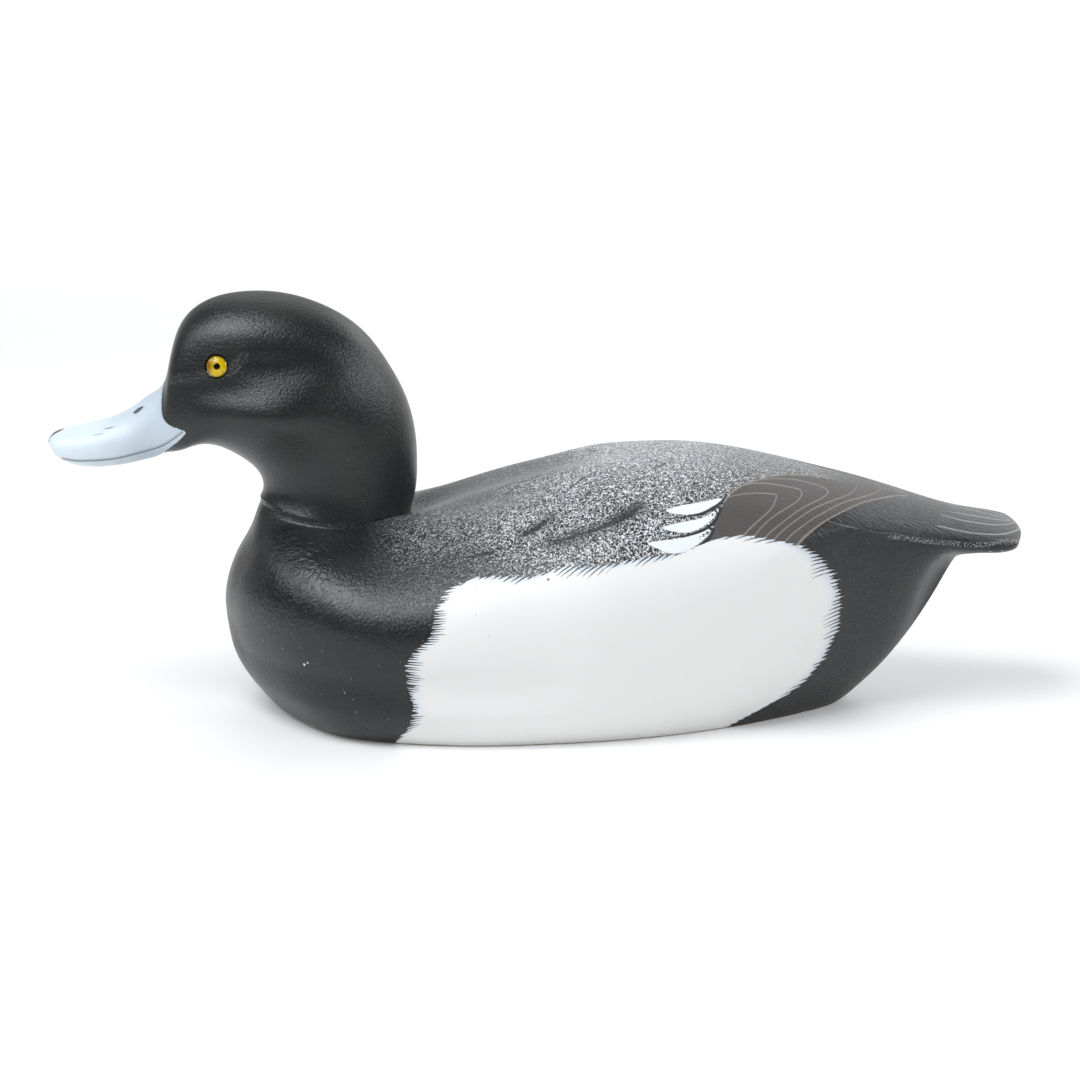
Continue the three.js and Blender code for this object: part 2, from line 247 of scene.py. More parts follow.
def knife_marks(points, length, seed):
    """The faint unevenness that a knife and sandpaper leave, from -1 to 0, in hollows about length apart."""
    chance = np.random.default_rng(seed)
    waves = 10
    ways = chance.normal(size=(waves, 3))
    ways *= 2 * math.pi / length / np.linalg.norm(ways, axis=1, keepdims=True)
    phase = chance.uniform(0, 2 * math.pi, waves)
    return np.clip(np.sin(points @ ways.T + phase).sum(1) / waves - 0.5, -1, 0)


def nearest_on(line, spots):
    """For each spot, how far it is from a line, how far along (0 to 1) it is nearest, and on which side."""
    lengths = np.linalg.norm(np.diff(line, axis=0), axis=1)
    start = np.append(0, np.cumsum(lengths))
    best = np.full(len(spots), np.inf)
    along = np.zeros(len(spots))
    side = np.ones(len(spots))
    for a, b, length, gone in zip(line[:-1], line[1:], lengths, start):
        way = (b - a) / max(length, 1e-9)
        off = spots - a
        t = np.clip(off @ way, 0, length)
        gap = np.hypot(off[:, 0] - way[0] * t, off[:, 1] - way[1] * t)
        nearer = gap < best
        best[nearer] = gap[nearer]
        along[nearer] = (gone + t[nearer]) / start[-1]
        side[nearer] = np.where(way[0] * off[nearer, 1] - way[1] * off[nearer, 0] < 0, -1.0, 1.0)
    return best, along, side


def inside(outline, spots):
    """Whether each spot lies within a closed outline."""
    x, y = spots.T
    within = np.zeros(len(spots), bool)
    for (ax, ay), (bx, by) in zip(outline, np.roll(outline, -1, 0)):
        crosses = (ay > y) != (by > y)
        within ^= crosses & (x < ax + (bx - ax) * (y - ay) / np.where(by == ay, 1e-9, by - ay))
    return within


def depth_in(outline, spots, most=12.0):
    """How far each spot lies inside a closed outline, below zero outside it, to a limit."""
    depth = np.full(len(spots), most)
    near = np.all((spots > outline.min(0) - most) & (spots < outline.max(0) + most), 1)
    depth[near] = nearest_on(np.concatenate([outline, outline[:1]]), spots[near])[0]
    return np.clip(depth, 0, most) * np.where(inside(outline, spots), 1, -1)


# The head's ribs, from the foot of the neck to the tip of the bill. The body's recess is cut with the first of them.
# Each row gives the outer point [x, z] on the nape, crown or culmen, the inner point [x, z] on the throat, chin or
# lower mandible, the half width, the section's exponent and how far its widest place lies towards the inner point.
HEAD_RIBS = [
    [[-49, 67.2], [-99.6, 70.8], 24.8, 2.1, 0],
    [[-46, 74.5], [-99.6, 76.4], 24.4, 2.1, 0],
    [[-43.9, 82.5], [-99.7, 81.5], 23.6, 2.1, 0],
    [[-43.4, 92], [-101.2, 86.4], 23.6, 2.1, 0],
    [[-44, 101.5], [-105, 91], 24.2, 2.1, 0],
    [[-47.1, 114.5], [-110.8, 95.1], 25.4, 2.1, 0.02],
    [[-54.2, 128.6], [-116.2, 97.9], 25.8, 2.2, 0.06],
    [[-66.2, 142.8], [-121, 99.2], 25, 2.4, 0.12],
    [[-86.3, 152.6], [-125, 99.2], 23.4, 2.7, 0.18],
    [[-107, 154.1], [-128.2, 98.6], 21, 2.9, 0.2],
    [[-121.8, 149.6], [-131, 97.8], 18.6, 2.9, 0.2],
    [[-131, 138.3], [-133.2, 96.9], 16, 2.6, 0.22],
    [[-135.3, 121.8], [-135.6, 95.9], 13, 2.3, 0.28],
    [[-140.8, 116.2], [-139, 94.6], 10.6, 2.3, 0.34],
    [[-147.8, 111.2], [-144.8, 93], 10.2, 2.3, 0.36],
    [[-156, 107.4], [-152, 91.5], 10.9, 2.4, 0.34],
    [[-164.5, 105.3], [-161, 90.7], 11.8, 2.5, 0.3],
    [[-172, 103.4], [-169.6, 91.3], 11.2, 2.5, 0.2],
    [[-177, 101.4], [-175.6, 94], 8, 2.3, 0.1],
    [[-179, 98.4], [-179, 98.4], 0, 2.1, 0],
]
BILL_TIP = [-179, 0, 98.4]
# Soft shapes carved on each side of the face: x, z, length, height and how far they stand out.
FACE_SWELLS = [
    [-96, 112, 20, 10, 4.6],
    [-112, 143, 16, 6, 0.6],
    [-90, 130, 19, 6.5, -1.9],
    [-114, 121.5, 14, 4, -0.9],
]
# The recess is a little tighter than the foot of the neck, so that no slit shows between them.
RECESS_GAP = -0.15
# Where the filler lies: the height of the joint, and where the throat begins and is reached, along X.
JOINT_HEIGHT = 68
SIDE_OF_NECK, THROAT = -78, -98
KNIFE_DEPTH = 0.45

head_line = fair_curve([[*outer, *inner, *rest] for outer, inner, *rest in HEAD_RIBS])


def face_swell(x, z):
    return sum(
        lift * np.exp(-(((x - cx) / length) ** 2) - ((z - cz) / height) ** 2)
        for cx, cz, length, height, lift in FACE_SWELLS
    )


def head_side(places, angles, grow=0):
    """Points of the head's -Y side, at places along its ribs and angles round them from the crown."""
    ox, oz, ix, iz, half_width, exponent, low = head_line(places).T[:, :, None]
    length = np.hypot(ox - ix, oz - iz)
    reach = length / 2 + grow
    c = np.cos(angles)
    out = np.abs(np.sin(angles)) ** (2 / exponent)
    along = reach * (np.sign(c) * np.abs(c) ** (2 / exponent) - low * out)
    x = (ox + ix) / 2 + (ox - ix) / length * along
    z = (oz + iz) / 2 + (oz - iz) / length * along
    return np.stack([x, -out * (half_width + grow + face_swell(x, z)), z], 2)


def head_rings(places, sides, grow=0):
    return mirrored(head_side(places, np.linspace(0, math.pi, sides + 1), grow))


def neck_recess():
    rings = head_rings(np.linspace(3, 0, 16), 90, RECESS_GAP)
    rings = np.concatenate([rings, rings[-1:] - [0, 0, RECESS_GAP]])
    return lofted("recess", rings, rings[0].mean(0), rings[-1].mean(0))


def eased(rings, reach=14):
    """The body's rings with the edge of the shoulder rubbed round, as with a rasp and sandpaper."""
    share = np.exp(-0.5 * (np.arange(-3 * reach, 3 * reach + 1) / reach) ** 2)
    share /= share.sum()
    wide = np.pad(rings, ((3 * reach, 3 * reach), (0, 0), (0, 0)), mode="edge")
    soft = sum(part * wide[i : i + len(rings)] for i, part in enumerate(share))
    soft = sum(part * np.roll(soft, i - 3 * reach, 1) for i, part in enumerate(share))
    x, y, z = np.moveaxis(rings, 2, 0)
    rubbed = smoothstep(8, 26, np.abs(y)) * smoothstep(12, 26, z) * (1 - smoothstep(-5, 30, x))
    return rings + (soft - rings) * rubbed[:, :, None]


def from_neck(points):
    """How far the points of the body's top lie from the foot of the neck."""
    gap = np.minimum(depth_in(head_rings([0.5], 60)[0, :, :2], points[:, :2], 16.0), 0)
    return np.hypot(gap, np.maximum(JOINT_HEIGHT - points[:, 2], 0))


def filler(points):
    """How high the filler lies that was pressed into the joint and smoothed off, thickest at the throat."""
    front = smoothstep(SIDE_OF_NECK, THROAT, points[:, 0])
    return (1.4 + 0.5 * front) * np.exp(-from_neck(points) / (2.2 + 1.6 * front))


# Places along the ribs: a few close to the foremost point of the breast, then evenly to the tip of the tail.
body_places = np.concatenate([
    [0.04, 0.09, 0.16, 0.25],
    evenly(side_line, 0.35, 6.4, 150),
    evenly(side_line, 6.4, 21, 170)[1:],
])
body = lofted("painted_body", eased(body_rings(body_places)), BREAST_FRONT, TAIL_TIP)
points = points_of(body)
carve(body, KNIFE_DEPTH * knife_marks(points, 34, 4) * smoothstep(0.2, 8, points[:, 2]))
carve(body, filler(points_of(body)))
cut(body, [neck_recess()])
shaded(body)

# The painting of the body. Where each colour lies is laid out flat first, as it is seen from the camera's height on
# either side, and kept with every vertex. The shaders then draw brush strokes, feathering and grain inside it.

SEEN_FROM = math.radians(14)


def laid_flat(points):
    """Where points of either side lie as seen from a little above: along the decoy, and up."""
    up = points[:, 2] * math.cos(SEEN_FROM) - np.abs(points[:, 1]) * math.sin(SEEN_FROM)
    return np.stack([points[:, 0], up], 1)


def softened(outline, closed=False, rounds=2):
    """An outline with its corners taken off, as a brush would."""
    line = np.array(outline, float)
    for _ in range(rounds):
        after = np.roll(line, -1, 0) if closed else line[1:]
        before = line if closed else line[:-1]
        halves = np.stack([0.75 * before + 0.25 * after, 0.25 * before + 0.75 * after], 1).reshape(-1, 2)
        line = halves if closed else np.concatenate([line[:1], halves[1:-1], line[-1:]])
    return line


def strokes(lines, spots):
    """Brush strokes for the shaders: distance to the nearest stroke with its side's sign, distance, and half width.

    Each line is its points and its half width at evenly spaced places along it."""
    mark = np.tile([9.0, 9.0, 0.0], (len(spots), 1))
    for line, half_width in lines:
        line = softened(line, rounds=3)
        near = np.flatnonzero(np.all((spots > line.min(0) - 6) & (spots < line.max(0) + 6), 1))
        gap, along, side = nearest_on(line, spots[near])
        closer = gap < mark[near, 1]
        near, gap, along, side = near[closer], gap[closer], along[closer], side[closer]
        width = np.interp(along, np.linspace(0, 1, len(half_width)), half_width)
        mark[near] = np.stack([gap * side, gap, width], 1)
    return mark


BARB_LIMIT = 12.0


def barbs(edge, hairs, spacing, reach, spots, far):
    """Feather barbs drawn across an edge: how deep each spot lies along its barb, the barb's number, and its reach.

    hairs holds the barbs' angles at evenly spaced places along the edge, and reach their lengths. far is the rest of
    the outline that closes the edge, and tells the two sides of it apart. Depths end at BARB_LIMIT."""
    edge = np.array(edge, float)
    steps = np.linalg.norm(np.diff(edge, axis=0), axis=1)
    gone = np.append(0, np.cumsum(steps))
    even = np.arange(0, gone[-1], 0.3)
    base = np.stack([np.interp(even, gone, edge[:, k]) for k in (0, 1)], 1)
    angle = np.radians(np.interp(even / gone[-1], np.linspace(0, 1, len(hairs)), hairs))
    way = np.stack([np.cos(angle), np.sin(angle)], 1)
    long = np.interp(even / gone[-1], np.linspace(0, 1, len(reach)), reach)
    tangent = np.gradient(base, axis=0)
    across = np.abs(tangent[:, 0] * way[:, 1] - tangent[:, 1] * way[:, 0])
    number = np.cumsum(across) / spacing
    field = np.ones((len(spots), 3))
    field[:, 0] = np.where(inside(np.concatenate([edge, far]), spots), BARB_LIMIT, -BARB_LIMIT)
    near = np.flatnonzero(nearest_on(edge, spots)[0] < BARB_LIMIT)
    for some in np.array_split(near, max(1, len(near) // 4000)):
        off = spots[some, None] - base
        turn = way[:, 0] * off[:, :, 1] - way[:, 1] * off[:, :, 0]
        depth = way[:, 0] * off[:, :, 0] + way[:, 1] * off[:, :, 1]
        change = turn[:, :-1] * turn[:, 1:] <= 0
        between = turn[:, :-1] / (turn[:, :-1] - turn[:, 1:] + 1e-12)
        here = depth[:, :-1] + between * (depth[:, 1:] - depth[:, :-1])
        here = np.where(change, here, 99)
        pick = np.abs(here).argmin(1)
        row = np.arange(len(some))
        found = np.abs(here[row, pick]) < BARB_LIMIT
        row, pick = row[found], pick[found]
        share = between[row, pick]
        field[some[row], 0] = here[row, pick]
        field[some[row], 1] = number[pick] + share * (number[pick + 1] - number[pick])
        field[some[row], 2] = long[pick]
    return field


def keep(piece, name, values):
    """Stores a number or three with each vertex for the shaders."""
    kind, part = ("FLOAT", "value") if values.ndim == 1 else ("FLOAT_VECTOR", "vector")
    layer = piece.data.attributes.new(name, kind, "POINT")
    layer.data.foreach_set(part, np.ascontiguousarray(values, np.float32).ravel())


# The white flank: its front edge from the base up, then its top and its rear edge down to the base again.
FLANK_FRONT = [
    (-50.2, -13.6), (-49.4, -12.4), (-47, -9.4), (-44.8, -7.1), (-43.9, -4.4), (-43.1, -1.9), (-43.1, 0.3),
    (-43.9, 2.9), (-44.5, 5.4), (-44.9, 7.9), (-45, 10.4), (-45.6, 12.5), (-45.3, 15), (-44.2, 17.5), (-42.6, 19.7),
    (-41.1, 21.4), (-38.5, 23.2), (-36.7, 25.3), (-36.2, 27.8), (-35.5, 30.5), (-35.2, 33.3), (-35, 35.5),
    (-33.3, 37.4), (-32.8, 39.5), (-31.3, 41.6), (-29.2, 42.8), (-26.7, 43.7),
]
# The barbs of each edge at evenly spaced places along it: their angles, their lengths, and how far apart they stand.
FRONT_REACH = [
    0.8, 1.9, 4, 4.5, 3.7, 3.7, 1.9, 1.2, 2.6, 4.5, 5.5, 4, 4.4, 4.4, 3.7, 3, 3.3, 4, 5.2, 5.2, 4, 2.2, 3.3, 4, 3.3,
    2.2, 0.8,
]
FRONT_SPACING = 0.88
TOP_SPACING = 2.1
FRONT_HAIRS = [30, 25, 12, 0, -4, -8, -6, -2, 0, 0, 4, 6, 6, 8, 14]
FLANK_TOP = [
    (-26.7, 43.7), (-22.9, 45.4), (-17.6, 46.1), (-12.4, 46), (-7.1, 45.8), (-1.9, 45.7), (1.9, 46.5), (5.8, 48.3),
    (10.3, 49.7), (14.9, 49), (19, 49.1), (23.6, 49.9), (27.8, 50.2), (31.3, 51.1), (34.8, 52.1), (39, 52.8),
    (43.6, 53.1), (47.8, 53.7), (52.1, 54.5), (55.6, 56.3), (59.2, 58.2), (62.8, 59.1), (67.1, 60.1), (72.1, 60.7),
    (76.5, 60.2), (80.8, 59.3), (85.1, 58.9), (90.2, 57.9), (94.6, 56.4), (98.4, 54.3), (101.4, 52), (103.8, 49.1),
    (105.6, 46.6), (107.3, 43.7), (108.6, 41.1), (109.1, 38.2), (109.3, 35.3), (109.4, 32.4), (109.5, 29.4),
    (108.9, 26.5), (107.9, 23.9), (106.7, 21), (105.6, 18.4), (104.2, 15.4), (102.4, 13.2), (100.3, 10.7),
    (98.1, 8.1), (95.2, 5.2), (92.6, 3.4), (89.6, 1.8), (86, -0.2), (82.3, -2.1), (79, -3.7), (76.1, -5.6),
    (73.2, -7.2), (69.9, -8.8),
]
TOP_HAIRS = [-150, -149, -147, -146, -144, -145, -153, -163, -171, -172, -165, -160, -161, -160, -158, -155]
TOP_REACH = [4, 4, 6, 6.5, 5, 4, 4, 3.5, 4.5, 5, 5, 5, 4, 4.5, 4, 3]
# Three white feathers of the wing, each a closed outline from its tip round by the top.
WHITE_FEATHERS = [
    [
        (45.4, 69.5), (49.3, 70.9), (59, 72.6), (65.6, 74), (67.4, 74.5), (65.1, 72.4), (59.6, 69.2), (57.1, 68.3),
        (53.1, 68), (49.6, 68.2), (46.8, 68.9),
    ],
    [
        (43.8, 63.5), (48, 64.6), (52.3, 65.6), (57.3, 66.4), (60.2, 67.4), (64.3, 70.1), (65.4, 70.7), (64.6, 69.2),
        (63, 66.9), (60.8, 64.9), (57.9, 63.1), (55.1, 62), (52.2, 61.4), (45.9, 62.5),
    ],
    [
        (38.4, 58), (42.3, 58.7), (50.7, 59.6), (55, 60.6), (60.4, 63.3), (62.8, 64.3), (62.2, 62.4), (60.3, 60.1),
        (55.3, 56.3), (52.8, 55), (49.9, 54.3), (46.8, 54.3), (44.7, 55.1), (42.2, 56.5), (40.1, 57.3),
    ],
]
FEATHER_EDGES = [
    ([(67.2, 73.7), (64.3, 71.1), (61.4, 69.5), (58.5, 68.2), (47.8, 66.6)], [0.5, 0.6, 0.5, 0.3, 0.15]),
    ([(65.5, 69.7), (63.9, 66.2), (61.9, 64.3), (59, 62.4), (53.2, 60.5), (47.2, 59.9)],
     [0.5, 0.65, 0.6, 0.4, 0.15]),
    ([(62.7, 62.6), (61.4, 60), (59.6, 58.2), (54.2, 54.7), (51.3, 53.8), (44.6, 52.7)], [0.6, 0.7, 0.7, 0.55, 0.3]),
]
# The brown-grey patch of the folded wing, and the pale edges of its feathers.
WING_PATCH = [
    (68.5, 74.4), (71.6, 76.9), (75.1, 79.2), (83.9, 81.8), (88.3, 82.6), (96.1, 82.7), (101.1, 82.4), (122.4, 78.1),
    (128.3, 77.3), (136.6, 75.3), (129.6, 75.2), (120.7, 73.4), (115.4, 71.9), (105.9, 67.4), (101.3, 64.5),
    (94.2, 58.4), (92.7, 56.3), (87.6, 56), (81.5, 57.7), (73.9, 59.1), (67.4, 58.4), (62.1, 57.4), (60.7, 59.1),
    (61.8, 61.9), (63.7, 65.4), (65.3, 69.7),
]
# Neighbouring edges are in different lists, because a stroke hides the ones near it in its own list.
QUILLS_A = [
    ([(68.1, 74.3), (73.3, 75.5), (80.3, 76), (86.4, 75.4), (86.4, 75), (84.8, 71.2), (82.6, 68.9), (76.6, 63.9),
      (74.3, 61.7), (72.5, 59.2)],
     [0.32, 0.34, 0.36, 0.38, 0.42, 0.5, 0.55, 0.6]),
    ([(82.3, 80.9), (86.8, 81.3), (92, 81.2), (96.5, 80.6), (103.7, 78.6), (106.1, 77), (104.8, 75.2), (101.5, 73.4),
      (97.1, 71.5), (93.2, 69.4), (83, 61.9), (80.6, 59.2)],
     [0.2, 0.3, 0.34, 0.36, 0.38, 0.4, 0.42, 0.42]),
    ([(126.8, 78), (124.3, 76.4), (119.9, 75), (114.2, 73.7), (109.8, 72.4), (101.2, 68), (97, 65.6), (90, 60.4),
      (88.4, 58.4)],
     [0.2, 0.36, 0.4, 0.42, 0.42, 0.44]),
]
QUILLS_B = [
    ([(69.3, 76), (72.4, 78), (75.8, 79.2), (79.9, 79.6), (84.3, 79.4), (92.7, 78), (95.6, 77.2), (95.8, 76),
      (94.9, 74.1), (92.7, 72.2), (85.5, 68.2), (81.7, 65.3), (78.7, 62.3), (76.7, 59.2)],
     [0.35, 0.4, 0.38, 0.36, 0.38, 0.4, 0.42, 0.42]),
    ([(117.3, 78.4), (114.7, 76.1), (110.5, 74.5), (101.9, 71.6), (97.2, 69.2), (90, 64.3), (87, 61.9), (84.2, 59)],
     [0.2, 0.36, 0.4, 0.42, 0.42, 0.42]),
    ([(136.6, 75.4), (131.4, 75.5), (120.3, 73.3), (115.4, 71.8), (106.6, 67.7), (102.1, 65.2), (95.3, 60.2),
      (92.9, 57.2)],
     [0.3, 0.4, 0.42, 0.45, 0.5, 0.7, 0.9]),
]
QUILLS_C = [
    ([(68.1, 74.7), (70.5, 76.8), (73.9, 78.6), (77.7, 80.1), (86.3, 82.3), (91.6, 82.8), (96.2, 82.8),
      (111.2, 81.7)],
     [0.3, 0.35, 0.3, 0.25, 0.2, 0.1]),
]
# Pale edges of the tail's feathers, then the fine lines of the rump.
TAIL_LINES = [
    ([(145.3, 64.3), (153.7, 62.4), (158.1, 61.6), (167.1, 61), (171.1, 61.4), (174.6, 62.2), (178.2, 63.4)],
     [0.3, 0.4, 0.36, 0.34, 0.38, 0.42, 0.34]),
    ([(147.9, 68.3), (155.6, 66.2), (165.3, 64.8), (170.2, 64.6), (174.7, 65), (178, 65.8)],
     [0.16, 0.32, 0.34, 0.32, 0.3, 0.25]),
    ([(151.2, 69.6), (169.8, 66.6), (174.3, 66.3), (176.6, 66.5)], [0.1, 0.26, 0.3, 0.28, 0.24]),
    ([(155.3, 71.4), (161.1, 69.9), (166.8, 68.6), (173.1, 67.4)], [0.08, 0.2, 0.2, 0.1]),
    ([(104.3, 65.9), (107.9, 64.8), (111.6, 63.8), (116.1, 63.1)], [0.1, 0.14, 0.12, 0.06]),
    ([(118.3, 62.7), (123.5, 61.4), (128.4, 61.8), (132.9, 60.5), (137.1, 58.7)], [0.05, 0.08, 0.08, 0.04]),
]
# Dark strokes that part the feathers of the back.
BACK_STROKES = [
    ([(4.4, 58.6), (8.6, 58.9), (17.1, 61.6), (21.3, 62.6), (29.8, 66.3), (37.3, 70.9)],
     [0.15, 0.25, 0.4, 0.5, 0.6, 0.75, 1, 0.9, 0.2]),
    ([(-4.4, 60.9), (-1.2, 62.4), (2, 64.4), (5.1, 66.3)], [0.5, 0.8, 0.7, 0.3]),
    ([(10.9, 76.2), (13.8, 78.8), (15.9, 80.6), (18.5, 81.9)], [0.15, 0.35, 0.4, 0.2]),
    ([(29.4, 78.5), (33.8, 80), (38.4, 81.1)], [0.2, 0.4, 0.4]),
    ([(43, 84.6), (45.6, 86.1), (48.3, 87.8)], [0.4, 0.3, 0.2]),
    ([(-23.1, 53.1), (-18.8, 54), (-14.2, 55)], [0.5, 0.7, 0.3]),
]
# The hollow between the folded wings, beside the neck.
WING_GROOVE = [(-27.9, 76.1), (-11.1, 81.2), (-0.6, 84.2), (10.1, 86.5), (20.8, 89.6), (38.2, 91.7)]
# The rump and the tail as far as the light from above reaches.
RUMP_TOP = [
    (91, 57.3), (94.2, 59.4), (105.9, 67.3), (115.4, 72.1), (120, 100), (190, 100), (190, 62.8), (177.3, 62.4),
    (174.6, 60.2), (168.1, 59.3), (140.3, 59.8), (132.9, 60.5), (125.4, 62), (116.1, 63), (108.6, 63.4),
    (101.2, 61.6),
]
# The darker, rough band round the rim of the tail: its upper edge, then what closes it underneath.
TAIL_RIM = [
    (127.3, 60.2), (132.9, 59.8), (140.4, 58.7), (149.6, 58), (158.7, 57.1), (166, 58), (171.9, 59.1), (175.2, 58.7),
    (178, 50), (146, 50), (133.1, 56.9), (127.5, 58.6),
]
# Pale and dark specks of the side that is seen: place, radius and how pale.
SPECKS_SEEN = [
    ((-82.4, 15.1), 0.5, 226), ((-80.8, 15.2), 0.38, 200), ((-101.4, 29.7), 0.3, 120), ((-95.4, 27.7), 0.28, 130),
    ((-67.6, 4.7), 0.32, 140), ((-64.4, 2.6), 0.28, 120), ((-63.5, -1.8), 0.28, 120), ((-90.2, 20.7), 0.3, 120),
    ((-75.5, 19.6), 0.28, 110), ((-98, 23.3), 0.28, 120), ((164.7, 54.9), 0.4, 190), ((167.0, 55.0), 0.35, 180),
    ((169.2, 55.1), 0.4, 190), ((170.6, 55.9), 0.34, 180), ((4.7, 45.7), 0.5, 90), ((-21.4, 33.2), 0.34, 212),
    ((-16.5, 25.7), 0.3, 212), ((-20.8, 42.2), 0.34, 205),
]

points = points_of(body)
spots = laid_flat(points)
x, up = spots.T
behind_front = [(-10, 120), (400, 120), (400, -90), (-62, -90)]
below_top = [(20, -40), (-300, -40), (-300, 120), (-62, 120)]
keep(body, "flank_front", barbs(FLANK_FRONT, FRONT_HAIRS, FRONT_SPACING, FRONT_REACH, spots, behind_front))
keep(body, "flank_rear", barbs(FLANK_TOP, TOP_HAIRS, TOP_SPACING, TOP_REACH, spots, below_top))
feathers = np.max([depth_in(softened(f, True), spots) for f in WHITE_FEATHERS], 0)
patch = depth_in(softened(WING_PATCH, True, 1), spots)
rump = depth_in(softened(RUMP_TOP, True, 1), spots)
keep(body, "patches", np.stack([feathers, patch, rump], 1))
for name, lines in (
    ("dark_strokes", BACK_STROKES),
    ("feather_edges", FEATHER_EDGES),
    ("quills_a", QUILLS_A),
    ("quills_b", QUILLS_B),
    ("quills_c", QUILLS_C),
    ("tail_lines", TAIL_LINES),
):
    keep(body, name, strokes(lines, spots))


def beside(line, reach):
    """1 on a line, falling off to either side over its reach."""
    return np.exp(-((nearest_on(softened(line), spots)[0] / reach) ** 2))


# How thick the pale flecks lie. They begin thinly on the shoulder, are thickest on the back, thin out again towards
# the rump, and leave the hollows and the dark strokes nearly free.
flecks = (0.22 + 0.28 * smoothstep(46, 62, up)) * smoothstep(-66, -38, x)
flecks = flecks + 0.5 * smoothstep(-34, 4, x + 0.5 * (up - 60))
flecks = flecks * (1 - 0.4 * smoothstep(40, 90, x)) * (1 - smoothstep(96, 124, x)) * smoothstep(20, 50, up + 0.12 * x)
by_neck = np.exp(-(((x + 26) / 26) ** 2) - ((up - 76) / 7) ** 2)
hollow = np.maximum(by_neck, beside(WING_GROOVE, 4.2) * (1 - smoothstep(-5, 34, x)))
halo = np.maximum(beside(BACK_STROKES[0][0], 3.2), 0.8 * beside(BACK_STROKES[1][0], 3))
flecks = flecks * (1 - 0.75 * hollow) * (1 - 0.6 * halo)
flecks = flecks * (1 - smoothstep(76, 92, x) * (1 - smoothstep(73, 80, up)))
# How much grey is misted over the black: grey paint in the hollows, a painted reflection of the bright backdrop
# along the top of the back, and painted light from above on the rump.
mist_and_painted_light = np.maximum(0.85 * hollow, 0.75 * smoothstep(-30, 10, x) * smoothstep(78, 92, up))
mist_and_painted_light = np.maximum(mist_and_painted_light, 0.2 * smoothstep(60, 110, x) * smoothstep(-2, 4, rump))
keep(body, "cover", np.stack([flecks, mist_and_painted_light, depth_in(softened(TAIL_RIM, True, 1), spots)], 1))
keep(body, "rim_line", nearest_on(softened(TAIL_RIM[:8]), spots)[0])
keep(body, "from_neck", from_neck(points))
# The place in space of each speck, from its place on the flat.
seen = np.flatnonzero(points[:, 1] < 0)
specks_seen = [(points[seen[np.hypot(*(spots[seen] - spot).T).argmin()]], size, pale) for spot, size, pale in SPECKS_SEEN]


class Field:
    """A number that a material's nodes work out at every point of a surface."""

    def __init__(self, tree, socket):
        self.tree = tree
        self.socket = socket

    def maths(self, kind, *others, clamp=False):
        node = self.tree.nodes.new("ShaderNodeMath")
        node.operation = kind
        node.use_clamp = clamp
        for socket, value in zip(node.inputs, (self, *others)):
            if isinstance(value, Field):
                self.tree.links.new(value.socket, socket)
            else:
                socket.default_value = value
        return Field(self.tree, node.outputs[0])

    def __add__(self, other):
        return self.maths("ADD", other)

    __radd__ = __add__

    def __sub__(self, other):
        return self.maths("SUBTRACT", other)

    def __rsub__(self, other):
        return self.maths("MULTIPLY", -1.0) + other

    def __mul__(self, other):
        return self.maths("MULTIPLY", other)

    __rmul__ = __mul__

    def __truediv__(self, other):
        return self.maths("DIVIDE", other)

    def power(self, other):
        return self.maths("POWER", other)

    def size(self):
        return self.maths("ABSOLUTE")

    def whole(self):
        return self.maths("FLOOR")

    def least(self, other):
        return self.maths("MINIMUM", other)

    def most(self, other):
        return self.maths("MAXIMUM", other)

    def clamped(self):
        return self.maths("ADD", 0.0, clamp=True)

    def rising(self, low, high):
        """0 below low and 1 above high, or the other way round where low is the greater."""
        node = self.tree.nodes.new("ShaderNodeMapRange")
        node.interpolation_type = "SMOOTHSTEP"
        self.tree.links.new(self.socket, node.inputs["Value"])
        node.inputs["From Min"].default_value = min(low, high)
        node.inputs["From Max"].default_value = max(low, high)
        node.inputs["To Min"].default_value = float(low > high)
        node.inputs["To Max"].default_value = float(low < high)
        return Field(self.tree, node.outputs["Result"])


